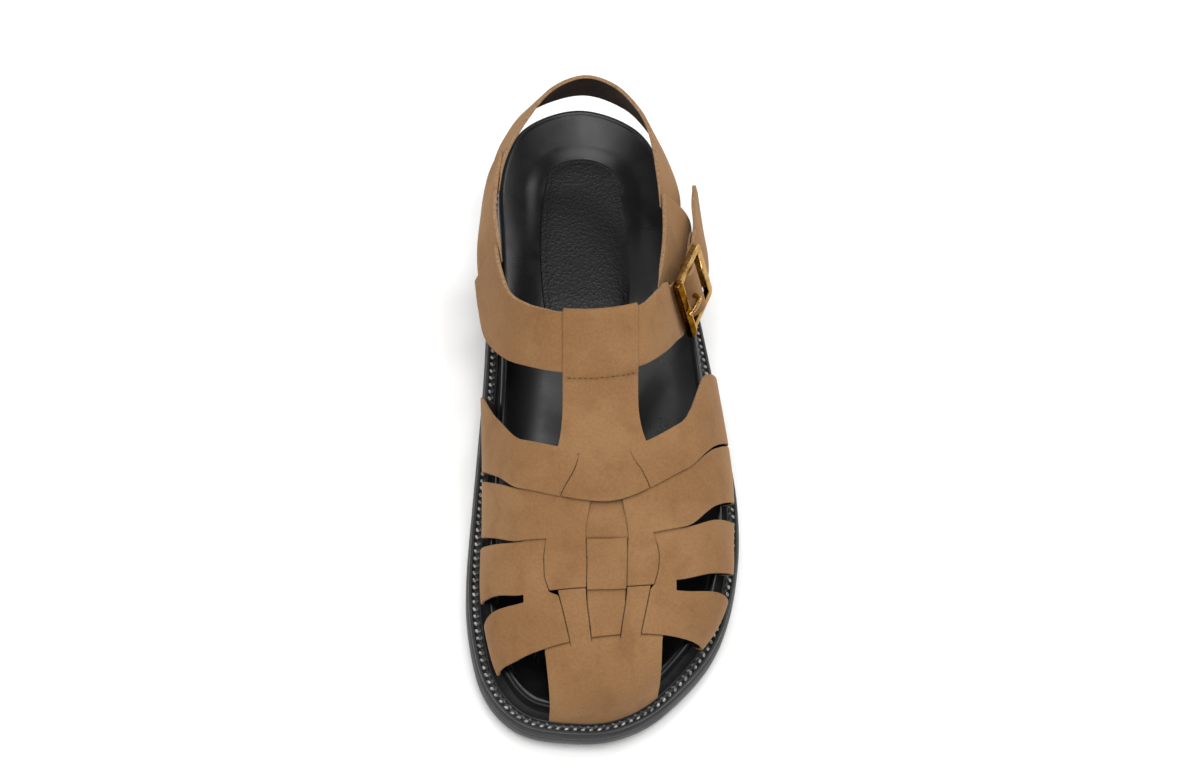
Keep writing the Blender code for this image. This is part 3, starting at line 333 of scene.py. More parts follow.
def reach(y, inner):
    """Signed distance across the foot from the ridge to where the straps turn upright."""
    out_in, out_out = last_level("out_in", y), last_level("out_out", y)
    turn = np.where(inner, side_x(STRAP_RING, y, -1) - out_in, side_x(STRAP_RING, y, 1) + out_out)
    return turn - last_level("ridge_x", y)


def girth_of(x, y):
    """Girth of a point given by its place in plan."""
    across = x - last_level("ridge_x", y)
    return across / np.abs(reach(y, across < 0))


def over_foot(y, girth):
    """Middle layer of the straps: a quarter superellipse from ridge to rim, then an upright wall."""
    y, girth = np.broadcast_arrays(np.asarray(y, float), np.asarray(girth, float))
    inner = girth < 0
    out = np.where(inner, -last_level("out_in", y), last_level("out_out", y))
    spring = np.where(inner, sole_level("rim_in", y), sole_level("rim_out", y))
    power = last_level("power", y)
    across = np.minimum(np.abs(girth), 1.0)
    down = np.maximum(np.abs(girth) - 1.0, 0.0)
    x = last_level("ridge_x", y) + reach(y, inner) * across - out * ease(down)
    arch = (1 - across ** power) ** (1 / power)
    z = spring + (last_level("ridge_z", y) - spring) * arch
    z = z + (sole_level("welt", y) + SEAT - spring) * down
    return np.stack([x, y, z], axis=-1)


def lifted_foot(y, girth, lift):
    """The foot's surface raised along its own normal, from differences over a small step."""
    flat = np.clip(unroll(girth), -1 - 0.98 * WALL_SHARE, 1 + 0.98 * WALL_SHARE)
    across = over_foot(y, roll(flat + 0.01)) - over_foot(y, roll(flat - 0.01))
    along = over_foot(y - 0.5, girth) - over_foot(y + 0.5, girth)
    normal = unit(np.cross(along, across))
    return over_foot(y, girth) + normal * np.asarray(lift)[..., None]


def seam(name):
    """Girth of a line along the foot, as a function of the place along it."""
    rows = np.array(SEAM_LINES[name])
    return lambda y: girth_of(smooth_table(rows[:, 0], rows[:, 1], y), y)


def at_girth(girth):
    """A line along the foot at one girth."""
    return lambda y: np.full_like(y, girth)


def at_place(y):
    """An edge across the foot at one place along it."""
    return lambda girth: y


def edge(name, shift=0.0):
    """Place along the foot of a cross strap's edge at a girth; shift is a number or a function."""
    table, stops = STRAP_EDGES[name], unroll(np.array(GIRTHS))
    moved = shift if callable(shift) else at_place(shift)
    return lambda girth: smooth_table(stops, table, unroll(girth)) + moved(girth)


def patch(back, front, left, right, rows, columns):
    """Grid of (y, girth) between two edges across the foot and two lines along it, with its shares.

    A point is a fixed share of the way round between the lines and of the way along between the
    edges. Each depends on the other, so both are repeated, with damped steps, until they settle.
    """
    v = np.linspace(0, 1, rows)[:, None]
    u = np.linspace(0, 1, columns)[None, :]
    y = np.broadcast_to((back(0.0) + front(0.0)) / 2, (rows, columns)).astype(float)
    for _ in range(40):
        girth = roll(unroll(left(y)) * (1 - u) + unroll(right(y)) * u)
        y = y * 0.4 + (back(girth) * (1 - v) + front(girth) * v) * 0.6
    return y, girth, np.broadcast_to(v, y.shape)


def sheet(back, front, left, right, rows, columns, lift=lambda y, girth, v: 0.0):
    """Points of a patch, raised by a lift that depends on the place, the girth and the share."""
    y, girth, v = patch(back, front, left, right, rows, columns)
    return lifted_foot(y, girth, lift(y, girth, v))


def narrowed(y, girth, left, right, share):
    """Girths drawn to the middle between two lines, to a share of their distance from it."""
    middle = (unroll(left(y)) + unroll(right(y))) / 2
    return roll(middle + (unroll(girth) - middle) * share)


def cubic(start, pull, push, end, count):
    """Rows along a cubic curve from start to end that sets out for pull and arrives from push."""
    t = np.linspace(0, 1, count)[:, None, None]
    return start * (1 - t) ** 3 + pull * 3 * t * (1 - t) ** 2 + push * 3 * t * t * (1 - t) + end * t ** 3


# ---------------------------------------------------------------- meshes

def grid_faces(rows, columns, closed=False):
    """Four-cornered faces of a grid of points; closed joins the last column to the first."""
    row = np.arange(rows - 1)[:, None]
    column = np.arange(columns if closed else columns - 1)[None, :]
    here = row * columns + column
    beside = row * columns + (column + 1) % columns
    return np.stack([here, here + columns, beside + columns, beside], axis=-1).reshape(-1, 4)


def new_piece(name, grids, materials, nodes=(), closed=False, tints=None):
    """A piece of the shoe from grids of points in millimetres, welded where they meet.

    closed joins each grid's last column to its first and turns the closed shell's faces outwards. An
    open sheet's faces already look outwards by the order of its rows and columns. tints are the faces'
    places in the list of materials, and nodes the CAD nodes that the piece stands for.
    """
    points, faces, start = [], [], 0
    for grid in grids:
        grid = np.asarray(grid, float)
        points.append(grid.reshape(-1, 3) * MM)
        faces.append(grid_faces(grid.shape[0], grid.shape[1], closed) + start)
        start += points[-1].shape[0]
    mesh = bpy.data.meshes.new(name)
    mesh.from_pydata(np.concatenate(points).tolist(), [], np.concatenate(faces).tolist())
    if tints is not None:
        mesh.polygons.foreach_set("material_index", tints)
    body = bmesh.new()
    body.from_mesh(mesh)
    bmesh.ops.remove_doubles(body, verts=body.verts, dist=WELD * MM)
    if closed:
        bmesh.ops.recalc_face_normals(body, faces=body.faces)
    body.to_mesh(mesh)
    body.free()
    for material in materials:
        mesh.materials.append(material)
    mesh.shade_smooth()
    item = bpy.data.objects.new(name, mesh)
    bpy.context.scene.collection.objects.link(item)
    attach(item, "root")
    if nodes:
        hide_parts(*nodes)
    return item


def leather_wall(item, thickness, rounding):
    """Gives a sheet its wall, half to each side, with a lining inside and softened cut edges."""
    wall = item.modifiers.new("Wall", "SOLIDIFY")
    wall.thickness = thickness * MM
    wall.offset = 0.0
    wall.use_even_offset = True
    wall.material_offset = 1
    wall.material_offset_rim = 2
    soft = item.modifiers.new("Soft edges", "BEVEL")
    soft.width = rounding * MM
    soft.segments = 2
    soft.limit_method = "ANGLE"
    soft.angle_limit = math.radians(50)
    soft.harden_normals = True


def woven_piece(name, grids):
    """One strap or strip of the woven upper from its grids."""
    item = new_piece(name, grids, LEATHER, ["upper"])
    leather_wall(item, WOVEN, 0.4)


def tube(path, radius):
    """A round bar along a path: circles across it, drawn in to a point at each end.

    radius is one number or one for each point. The circles stand on the path's tangent and on the
    direction square to it that lies nearest the first one chosen.
    """
    radius = np.broadcast_to(radius, len(path))
    tangent = unit(np.gradient(path, axis=0))
    guide = unit(np.cross(tangent[0], np.eye(3)[np.argmin(np.abs(tangent[0]))]))
    across = unit(guide - tangent * (tangent @ guide)[:, None])
    upward = np.cross(tangent, across)
    turn = np.linspace(0, 2 * math.pi, 16, endpoint=False)[None, :, None]
    ring = across[:, None] * np.cos(turn) + upward[:, None] * np.sin(turn)

    def dome(end, outwards):
        """Circles that close one end, as shares of the radius wide and beyond the end."""
        return [path[end] + tangent[end] * (outwards * radius[end] * rise) + ring[end] * radius[end] * wide
                for wide, rise in ((0.0, 0.8), (0.55, 0.688), (0.86, 0.4))]

    return np.concatenate([dome(0, -1), path[:, None] + ring * radius[:, None, None], dome(-1, 1)[::-1]])


def stitches(name, path, normal, pitch, size, lean, material):
    """A row of thread stitches: one small grain shape set at even steps along a path.

    The grain is an ellipsoid of six-sided rings, as long, wide and thick as size says, turned by lean
    degrees about the surface's normal, and partly sunk in the leather.
    """
    length = np.append(0, np.cumsum(np.linalg.norm(np.diff(path, axis=0), axis=1)))
    count = max(int(length[-1] / pitch), 1)
    stops = (np.arange(count) + 0.5) * length[-1] / count

    def along_path(values):
        """Values given at the path's points, read at the stitches."""
        return np.stack([np.interp(stops, length, values[:, k]) for k in range(3)], axis=1)

    up = unit(along_path(normal))
    tangent = unit(along_path(np.gradient(path, axis=0)))
    tangent = unit(tangent - up * np.sum(tangent * up, axis=1, keepdims=True))
    side = np.cross(up, tangent)
    turn = math.radians(lean)
    tangent, side = (tangent * math.cos(turn) + side * math.sin(turn),
                     side * math.cos(turn) - tangent * math.sin(turn))
    angle = np.linspace(0, 2 * math.pi, 6, endpoint=False)
    rise = np.array([-1.0, -0.8, -0.3, 0.3, 0.8, 1.0])
    girth = np.sqrt(1 - rise ** 2)
    grain = np.stack([np.repeat(rise, 6), np.outer(girth, np.cos(angle)).ravel(),
                      np.outer(girth, np.sin(angle)).ravel()], axis=1) * np.array(size) / 2
    axes = np.stack([tangent, side, up], axis=1)
    raised = along_path(path) + up * size[2] * (0.5 - STITCH_SUNK)
    points = raised[:, None, :] + np.einsum("kj,njc->nkc", grain, axes)
    return new_piece(name, list(points.reshape(count, 6, 6, 3)), [material], closed=True)


# ---------------------------------------------------------------- materials

def linear(code):
    """Linear colour of an sRGB hex value."""
    parts = [int(code[i:i + 2], 16) / 255 for i in (1, 3, 5)]
    return (*[c / 12.92 if c <= 0.04045 else ((c + 0.055) / 1.055) ** 2.4 for c in parts], 1.0)


def per(size):
    """Pattern scale on Object coordinates, in metres, for a feature of a size in millimetres."""
    return 1.0 / (size * MM)


MIX_FACTOR, MIX_FIRST, MIX_SECOND, MIX_RESULT = 0, 6, 7, 2      # sockets of a Mix node set to colour


class Finish:
    """A material with one shader, and patterns on Object coordinates that feed the shader's sockets."""

    def __init__(self, name, **sockets):
        self.material = bpy.data.materials.new(name)
        self.material.use_nodes = True
        self.tree = self.material.node_tree
        self.shader = self.tree.nodes["Principled BSDF"]
        for key, value in sockets.items():
            self.shader.inputs[key.replace("_", " ")].default_value = value

    def add(self, kind, sockets=None, **settings):
        """Adds a node with its settings and with its sockets' values or links."""
        node = self.tree.nodes.new("ShaderNode" + kind)
        for key, value in settings.items():
            setattr(node, key, value)
        for key, value in (sockets or {}).items():
            if isinstance(value, bpy.types.NodeSocket):
                self.tree.links.new(value, node.inputs[key])
            else:
                node.inputs[key].default_value = value
        return node

    def feed(self, socket, value):
        """Links a pattern to a socket of the shader."""
        self.tree.links.new(value, self.shader.inputs[socket])

    def coordinates(self):
        """Places in the piece's own frame, in metres."""
        return self.add("TexCoord").outputs["Object"]

    def noise(self, size, detail=2.0, roughness=0.5):
        """Noise with features of a size in millimetres."""
        sockets = {"Vector": self.coordinates(), "Scale": per(size), "Detail": detail, "Roughness": roughness}
        return self.add("TexNoise", sockets).outputs["Fac"]

    def remap(self, value, low, high, to_low=0.0, to_high=1.0):
        """Stretches low..high of a pattern to to_low..to_high."""
        sockets = {"Value": value, "From Min": low, "From Max": high, "To Min": to_low, "To Max": to_high}
        return self.add("MapRange", sockets, interpolation_type="SMOOTHSTEP").outputs["Result"]

    def blend(self, factor, first, second, kind="MIX"):
        """Mixes two colours, hex codes or patterns, by a factor."""
        first, second = (linear(colour) if isinstance(colour, str) else colour for colour in (first, second))
        sockets = {MIX_FACTOR: factor, MIX_FIRST: first, MIX_SECOND: second}
        return self.add("Mix", sockets, data_type="RGBA", blend_type=kind).outputs[MIX_RESULT]

    def bump(self, height, depth, strength, over=None):
        """Surface relief of a depth in millimetres, over another relief."""
        sockets = {"Height": height, "Distance": depth * MM, "Strength": strength}
        if over is not None:
            sockets["Normal"] = over
        return self.add("Bump", sockets).outputs["Normal"]

    def mottle(self, first, second, size, detail, low, high, roughness=0.5):
        """Base colour that wanders between two with a noise; returns the second one's share."""
        share = self.remap(self.noise(size, detail, roughness), low, high)
        self.feed("Base Color", self.blend(share, first, second))
        return share

    def gloss(self, size, detail, least, most):
        """Roughness that wanders between two values with a noise."""
        self.feed("Roughness", self.remap(self.noise(size, detail), 0.3, 0.7, least, most))

    def relief(self, *layers):
        """Relief from layers of noise, each over the last: feature size, detail, depth and strength."""
        over = None
        for size, detail, depth, strength in layers:
            over = self.bump(self.noise(size, detail), depth, strength, over)
        self.feed("Normal", over)


def nubuck(name, light, middle, dark):
    """Nubuck: cow leather buffed on its grain side. The eye sees a soft matt tan with cloudy
    patches where the nap lies another way, and a faint bloom at grazing angles."""
    skin = Finish(name, Roughness=0.88, Specular_IOR_Level=0.22, Sheen_Weight=0.22, Sheen_Roughness=0.45,
                  Sheen_Tint=linear("#E2B98C"))
    clouds = skin.remap(skin.noise(30.0), 0.36, 0.64)
    smudges = skin.remap(skin.noise(9.0, 3.0, 0.55), 0.46, 0.74, 0.0, 0.4)
    nap = skin.noise(0.9, 3.0, 0.7)       # the real nap is 0.1 mm; coarser so that it shows
    colour = skin.blend(smudges, skin.blend(clouds, middle, light), dark)
    grain = skin.remap(nap, 0.3, 0.7, 0.90, 1.06)
    skin.feed("Base Color", skin.blend(1.0, colour, grain, "MULTIPLY"))
    creases = skin.bump(skin.noise(5.0, 3.0), 0.22, 0.6)
    skin.feed("Normal", skin.bump(nap, 0.06, 0.8, creases))
    return skin.material


def cut_edge(name):
    """Raw cut edge of the tan leather: paler and pinker than the buffed face, slightly fibrous."""
    cut = Finish(name, Roughness=0.9, Specular_IOR_Level=0.2)
    cut.mottle("#7C5F44", "#9A7B5C", 0.8, 3.0, 0.3, 0.7, 0.6)
    return cut.material


def lining(name):
    """Pigskin lining: thin dark brown leather with a dull polish from wear."""
    skin = Finish(name, Roughness=0.6, Specular_IOR_Level=0.35)
    skin.mottle("#2C201B", "#3A2A23", 14.0, 2.0, 0.35, 0.65)
    skin.relief((1.2, 2.0, 0.05, 0.6))
    return skin.material


def smooth_black_leather(name):
    """Finished black leather wrapped over the moulded footbed: long soft highlights, fine pores."""
    skin = Finish(name, Specular_IOR_Level=0.32)
    skin.mottle("#060607", "#0B0B0C", 22.0, 3.0, 0.3, 0.7)
    skin.gloss(9.0, 3.0, 0.27, 0.34)
    skin.relief((14.0, 1.0, 0.12, 0.5), (0.9, 1.0, 0.004, 0.4))
    return skin.material


def pebbled_black_leather(name):
    """Tumbled black leather of the pad: small rounded pebbles with glints on their tops."""
    skin = Finish(name, Specular_IOR_Level=0.3)
    place = skin.coordinates()
    shift = skin.add("TexNoise", {"Vector": place, "Scale": per(3.0)}).outputs["Color"]
    sockets = {0: shift, 1: (1.2 * MM,) * 3, 2: place}
    warped = skin.add("VectorMath", sockets, operation="MULTIPLY_ADD").outputs[0]
    sockets = {"Vector": warped, "Scale": per(1.25), "Smoothness": 0.35}
    cells = skin.add("TexVoronoi", sockets, feature="SMOOTH_F1").outputs["Distance"]
    pebble = skin.remap(cells, 0.05, 0.75, 1.0, 0.0)
    skin.feed("Base Color", skin.blend(pebble, "#050506", "#0B0B0C"))
    skin.feed("Roughness", skin.remap(pebble, 0.0, 1.0, 0.50, 0.33))
    skin.feed("Normal", skin.bump(pebble, 0.10, 0.8))
    return skin.material


def welt_leather(name):
    """Waxed black welt leather: dark and firm, with a faint uneven shine."""
    skin = Finish(name, Specular_IOR_Level=0.45)
    skin.mottle("#1A1A1C", "#262628", 10.0, 3.0, 0.3, 0.7)
    skin.gloss(4.0, 2.0, 0.42, 0.56)
    skin.relief((0.8, 2.0, 0.03, 0.6))
    return skin.material


def moulded_rubber(name):
    """Moulded black rubber: matt dark grey with a fine even texture and dusty patches."""
    rubber = Finish(name, Specular_IOR_Level=0.4)
    dust = rubber.mottle("#2E2E30", "#3B3B3D", 18.0, 4.0, 0.35, 0.7, 0.6)
    rubber.feed("Roughness", rubber.remap(dust, 0.0, 1.0, 0.50, 0.64))
    rubber.relief((0.7, 2.0, 0.05, 0.7))
    return rubber.material


def thread(name, light, dark):
    """Twisted thread: a strand pattern too fine to show is drawn as slow light and dark bands."""
    twist = Finish(name, Roughness=0.7, Specular_IOR_Level=0.3)
    strands = twist.mottle(dark, light, 1.1, 1.0, 0.35, 0.65)
    twist.feed("Normal", twist.bump(strands, 0.05, 0.5))
    return twist.material


def polished_brass(name, bright, dull, grazing):
    """Cast brass, tumbled and polished: warm gold with blurred highlights, tinted at grazing angles."""
    metal = Finish(name, Metallic=1.0, Specular_Tint=linear(grazing))
    metal.mottle(bright, dull, 5.0, 4.0, 0.35, 0.7, 0.6)
    metal.gloss(2.0, 4.0, 0.20, 0.34)
    return metal.material


TAN = nubuck("tan nubuck", "#8E6A46", "#85613E", "#735031")
EDGE = cut_edge("cut leather edge")
LINING = lining("brown pigskin lining")
FOOTBED = smooth_black_leather("smooth black leather")
PEBBLED = pebbled_black_leather("pebbled black leather")
WELT = welt_leather("waxed black welt leather")
RUBBER = moulded_rubber("moulded black rubber")
# The welt's thread is black: the outer row's light grey is painted bright highlight, the inner row's mid grey
# is painted dimmer highlight.
BRIGHT_PAINTED_THREAD = thread("black welt thread, painted bright highlight", "#B4B3AE", "#6C6B69")
DIM_PAINTED_THREAD = thread("black welt thread, painted dim highlight", "#6A6A6A", "#38383A")
SEAM_THREAD = thread("brown sewing thread", "#7A5632", "#5C3F24")
BRASS = polished_brass("polished brass", "#BB955C", "#94703A", "#F4E8D2")
# Darker brass for the front bar's shaded side: painted shade, not a different metal.
SHADE_PAINTED_BRASS = polished_brass("brass with painted shade", "#7A5526", "#4E3210", "#D8BE98")
LEATHER = [TAN, LINING, EDGE]


# ---------------------------------------------------------------- sole

def spine_of(ring):
    """The sole's middle line, the same place for a point and for its mate across the foot."""
    mate = np.roll(ring[::-1], 1, axis=0)
    y = np.clip((ring[:, 1] + mate[:, 1]) / 2, SPINE_FRONT, SPINE_BACK)
    return np.stack([np.interp(y, (SPINE_FRONT, SPINE_BACK), SPINE_X), y], axis=1)


def drawn_in(ring, share):
    """A ring drawn towards the middle line; share 0 is the line itself."""
    spine = spine_of(ring)
    return spine + (ring - spine) * share


def at_height(ring, height):
    """A ring in space: its outline in plan with a height, or one for each point."""
    return np.column_stack([ring, np.broadcast_to(height, len(ring))])


def on_welt(ring, lift):
    """A ring at a lift over the welt's flat top."""
    return at_height(ring, sole_level("welt", ring[:, 1]) + lift)


def inner_ring(share):
    """A ring 3 mm inside the outline, drawn towards the middle line."""
    return drawn_in(inset_ring(OUTLINE_RING, 3.0), share)


def tread(y):
    """Depth of the cross grooves under the heel and the forefoot at a place along the sole."""
    depth = np.zeros_like(y)
    for middle in FOREFOOT_GROOVES + HEEL_GROOVES:
        depth += GROOVE_DEPTH * between(y, middle - GROOVE_HALF, middle + GROOVE_HALF, GROOVE_FADE)
    return depth


def make_outsole():
    """Rings from the middle of the underside, out and up the bulging wall, and in over the top.

    The wall leans out to its fullest just above half its height, with a fine cast line round it.
    """
    def wall(ring, part):
        """The ring at a share of the way up the wall."""
        low = sole_level("under", ring[:, 1]) + tread(ring[:, 1]) * (1 - part)
        high = sole_level("welt", ring[:, 1]) - MIDSOLE - CAD_GAP
        return at_height(ring, low + (high - low) * part)

    profile = ((0.0, 2.2), (0.02, 1.7), (0.06, 1.2), (0.12, 0.8), (0.20, 0.5), (0.30, 0.25), (0.42, 0.08),
               (0.55, 0.0), (0.66, 0.04), (0.70, 0.06), (0.715, 0.30), (0.735, 0.30), (0.75, 0.08),
               (0.80, 0.12), (0.88, 0.3), (0.94, 0.6), (0.98, 1.0), (1.0, 1.5))
    rings = [wall(inner_ring(share), 0.0) for share in np.linspace(0, 1, 26)]
    rings += [wall(inset_ring(OUTLINE_RING, inset), part) for part, inset in profile]
    rings += [on_welt(inner_ring(share), -MIDSOLE - CAD_GAP) for share in (1.0, 0.9, 0.6, 0.3, 0.0)]
    new_piece("outsole", [rings], [RUBBER], ["outsole"], closed=True)


def welt_ring(inset, lift):
    """A ring on the welt, an inset inside the outline and a lift over the welt's flat top."""
    return on_welt(inset_ring(OUTLINE_RING, inset), lift)


def stitch_inset():
    """Middle of the stitched channel: 2.2 mm inside the outline at the toe and 3.2 mm elsewhere."""
    return np.interp(OUTLINE_RING[:, 1], (-129.0, -95.0), (2.2, 3.2))


def make_welt():
    """The stitched edge: a rounded lip, a sunk channel for the thread, a fine raised bead and the seat
    under the straps. Rings run from the underside outwards and back over the top."""
    channel = stitch_inset()
    bead = channel + 1.75
    seat = np.maximum(sole_level("inset", OUTLINE_RING[:, 1]) - 0.4, bead + 0.5)
    lip = ((1.6, -MIDSOLE), (1.0, -MIDSOLE * 0.86), (0.75, -MIDSOLE * 0.55), (0.85, -MIDSOLE * 0.25),
           (1.2, -0.12), (1.55, 0.02))
    sunk = ((-1.1, 0.02), (-0.95, -0.45), (0.0, -0.85), (1.1, -0.85), (1.35, -0.2))
    raised = ((-0.25, 0.22), (0.0, 0.34), (0.28, 0.2), (0.45, -0.2))
    rings = [on_welt(inner_ring(share), -MIDSOLE) for share in (0.0, 0.4, 0.8, 1.0)]
    for middle, profile in ((0.0, lip), (channel, sunk), (bead, raised), (seat, ((0.0, -0.25),))):
        rings += [welt_ring(middle + across, lift) for across, lift in profile]
    rings += [on_welt(inner_ring(share), -0.2) for share in (0.8, 0.5, 0.0)]
    new_piece("welt", [rings], [WELT], ["midsole"], closed=True)
    # Both rows are one black thread; their greys are painted highlights, bright on the outer row and dim on
    # the inner one.
    for name, across, turned, size, lean, material in (
            ("welt_stitches", -0.35, 0, (1.8, 1.25, 1.2), 30.0, BRIGHT_PAINTED_THREAD),
            ("welt_inner_stitches", 0.85, 1, (1.7, 1.1, 1.0), -30.0, DIM_PAINTED_THREAD)):
        path = np.roll(welt_ring(channel + across, -0.62), turned, axis=0)
        path = np.vstack([path, path[:1]])
        up = np.broadcast_to((0.0, 0.0, 1.0), path.shape)
        stitches(name, path, up, WELT_PITCH, size, lean, material)


def footbed_share(x, y):
    """How far a point lies from the middle line to the footbed's edge, 0 to 1.

    Between the ends of the middle line it is measured straight across the foot, and beyond them along
    the ray from the line's end.
    """
    centre_y = np.clip(y, SPINE_FRONT, SPINE_BACK)
    away_x, away_y = x - RIM_CENTRE_X, y - centre_y
    side = np.where(away_x < 0, side_x(FOOTBED_RING, y, -1), side_x(FOOTBED_RING, y, 1)) - RIM_CENTRE_X
    result = np.abs(away_x) / np.maximum(np.abs(side), 1e-6)
    for end_y, outwards in ((SPINE_FRONT, -1), (SPINE_BACK, 1)):
        from_end = FOOTBED_RING - (RIM_CENTRE_X, end_y)
        part = from_end[from_end[:, 1] * outwards >= -2.0]
        angle = np.arctan2(part[:, 0], part[:, 1] * outwards)
        order = np.argsort(angle)
        edge_distance = np.interp(np.arctan2(away_x, away_y * outwards), angle[order],
                                  np.linalg.norm(part, axis=1)[order])
        beyond = np.hypot(away_x, away_y) / edge_distance
        result = np.where((y - end_y) * outwards > 0, beyond, result)
    return np.clip(result, 0.0, 1.0)


def rim_level(x, y):
    """Level of the footbed's rim on the side where a point lies."""
    return np.where(x < RIM_CENTRE_X, sole_level("rim_in", y), sole_level("rim_out", y))


def pad_distance(x, y):
    """Distance outside the pad's outline: from its middle line, less its half width."""
    spine_y = np.clip(y, PAD_FRONT + PAD_HALF_WIDTH, PAD_BACK - PAD_HALF_WIDTH)
    return np.hypot(x - PAD_CENTRE_X, y - spine_y) - PAD_HALF_WIDTH


def footbed_height(x, y):
    """Top of the footbed: the floor, a rise to the rim as a power of the share, and a lip at the pad.

    The power is steep at the forefoot. The lip climbs over 7 mm round the pad, falls off smoothly
    outside it, and is full only behind the arch.
    """
    floor = sole_level("floor", y)
    steep = np.interp(y, (-60.0, 40.0, 100.0), (5.0, 3.6, 2.6))
    outside = pad_distance(x, y)
    lip = PAD_LIP * ease((outside + 1.0) / 7.0) * np.exp(-(np.maximum(outside - 6.0, 0.0) / 12.0) ** 2)
    lip = lip * (0.25 + 0.75 * ease((y - 55.0) / 38.0))
    return floor + (rim_level(x, y) - floor) * footbed_share(x, y) ** steep + lip


def make_footbed():
    """Moulded footbed: up the wall from the welt, round the rim and down into the dished floor."""
    ring = FOOTBED_RING
    rim = rim_level(ring[:, 0], ring[:, 1])
    base = sole_level("welt", ring[:, 1]) + CAD_GAP
    radius = 1.7

    def top(share):
        """The footbed's ring at a share of the way out from the middle line."""
        inner = drawn_in(ring, share)
        return at_height(inner, footbed_height(inner[:, 0], inner[:, 1]))

    rings = [on_welt(drawn_in(ring, share), CAD_GAP) for share in (0.0, 0.5, 0.9, 1.0)]
    wall = rim - radius - base
    rings += [at_height(ring, base + wall * part) for part in (0.1, 0.35, 0.65, 0.9, 1.0)]
    for turn in np.radians((25, 50, 75)):
        rounded = inset_ring(ring, radius * (1 - math.cos(turn)))
        rings.append(at_height(rounded, rim - radius * (1 - math.sin(turn))))
    rings.append(at_height(inset_ring(ring, radius * 1.25), rim - 0.02))
    shares = 1 - (1 - 0.93) * 1.06 ** np.arange(46)      # rings lie closest together at the rim
    rings += [top(share) for share in (*shares[shares > 0.02], 0.0)]
    new_piece("footbed", [rings], [FOOTBED], ["footbed"], closed=True)


def make_heel_pad():
    """Foam pad under grained leather: a low dome with rounded ends and a pressed line near its edge.

    Cells run round the pad from the underside's middle over the edge to the top's middle. At share s of
    the way out the top rises by 1.0 (1 - s^5) + 0.2 (1 - s^2), less the pressed line at s = 0.9.
    """
    turn = np.linspace(0, 2 * math.pi, 240, endpoint=False)[None, :]
    share = np.concatenate([np.linspace(0.0, 1.0, 12), np.linspace(1.0, 0.0, 60) ** 0.8])[:, None]
    upper = (np.arange(len(share)) >= 12)[:, None]
    straight = (PAD_BACK - PAD_FRONT) / 2 - PAD_HALF_WIDTH
    middle = (PAD_BACK + PAD_FRONT) / 2
    spine_y = middle + straight * np.clip(1.6 * np.sin(turn), -1, 1)
    x = PAD_CENTRE_X + PAD_HALF_WIDTH * np.cos(turn) * share
    y = spine_y + PAD_HALF_WIDTH * np.sin(turn) * share
    dome = 1.0 * (1 - share ** 5) + 0.2 * (1 - share ** 2) - 0.06 * np.exp(-((share - 0.9) / 0.03) ** 2)
    rise = np.where(upper, PAD_EDGE + dome, PAD_UNDER)
    grid = np.stack(np.broadcast_arrays(x, y, footbed_height(x, y) + rise), axis=-1)
    pad = new_piece("heel_pad", [grid], [PEBBLED], ["heel_pad"], closed=True)


# ---------------------------------------------------------------- woven upper

def weave_window(girth):
    """1 over the weave and a little past the tips of the openings, fading towards the welt."""
    return between(girth, WEAVE_IN - 0.02, WEAVE_OUT + 0.02, 0.16)


def lap_under(girth):
    """How far a strap's hidden edge reaches back under its neighbour; nothing at the openings' tips."""
    return LAP * ease((girth - WEAVE_IN - 0.01) / 0.08) * ease((WEAVE_OUT - 0.01 - girth) / 0.08)


def make_instep_bar():
    """The T-shaped front piece: fourth cross strap, tongue and instep bar cut from one sheet.

    The tongue is parted from the strap by two slits that start a little below the strap's back edge. It
    stands slightly over the strap beside it, and both lie over the third strap's back edge.
    """
    back, front = edge("fourth, back"), edge("fourth, front")
    lines = [at_girth(-WELT_GIRTH), seam("bar, inner"), seam("tongue, inner"), seam("tongue, outer"),
             seam("bar, outer"), at_girth(WELT_GIRTH)]
    grids = []
    for index, columns in enumerate((70, 10, 26, 10, 70)):
        y, girth, v = patch(back, front, lines[index], lines[index + 1], 34, columns)
        opened = ease((v - 0.10) / 0.30)
        lift = LEVEL * ease(v / 0.95) * weave_window(girth)
        if index == 2:
            lift = lift + 0.30 * opened
            girth = narrowed(y, girth, lines[2], lines[3], 1 - 0.03 * opened)
        elif index in (1, 3):
            near = np.linspace(0, 1, columns)[None, :]
            near = near if index == 1 else near[:, ::-1]
            lift = lift - 0.30 * opened * ease(near)
        grids.append(lifted_foot(y, girth, lift))
    start, after = (np.concatenate([grids[1][row], grids[2][row, 1:], grids[3][row, 1:]]) for row in (0, 6))
    part = (start[:, 0] - start[0, 0]) / (start[-1, 0] - start[0, 0])
    loop = loop_path(BAR_TOP_X[0] + (BAR_TOP_X[1] - BAR_TOP_X[0]) * part)
    end, beyond = loop[0], loop[3]
    far = np.linalg.norm(end - start, axis=1, keepdims=True)
    pull = start + unit(start - after) * far * 0.35
    push = end - unit(beyond - end) * far * 0.35
    bar = cubic(start, pull, push, end, 30)
    woven_piece("instep_bar", grids + [np.concatenate([bar, loop[1:]])[::-1]])
    seam_row = loop[5]
    normal = unit(np.cross(loop[6] - loop[4], np.gradient(seam_row, axis=0)))
    normal *= np.sign(normal[:, 2:])
    inside = slice(2, -2)
    stitches("instep_bar_seam", (seam_row + normal * WOVEN / 2)[inside], normal[inside], SEAM_PITCH,
             (1.45, 0.5, 0.45), 0.0, SEAM_THREAD)


def strap_row(along, half_width, upper_out, lower_out):
    """A strap's upper and lower edge at a place along the buckle, as a row of six numbers."""
    return (*at_buckle(along, -half_width, upper_out), *at_buckle(along, half_width, lower_out))


def band_rows(count):
    """Upper and lower edges of the ankle strap up to the buckle, as rows of six numbers."""
    return smooth_path([*ANKLE_STRAP, strap_row(*BAND_END)], count)


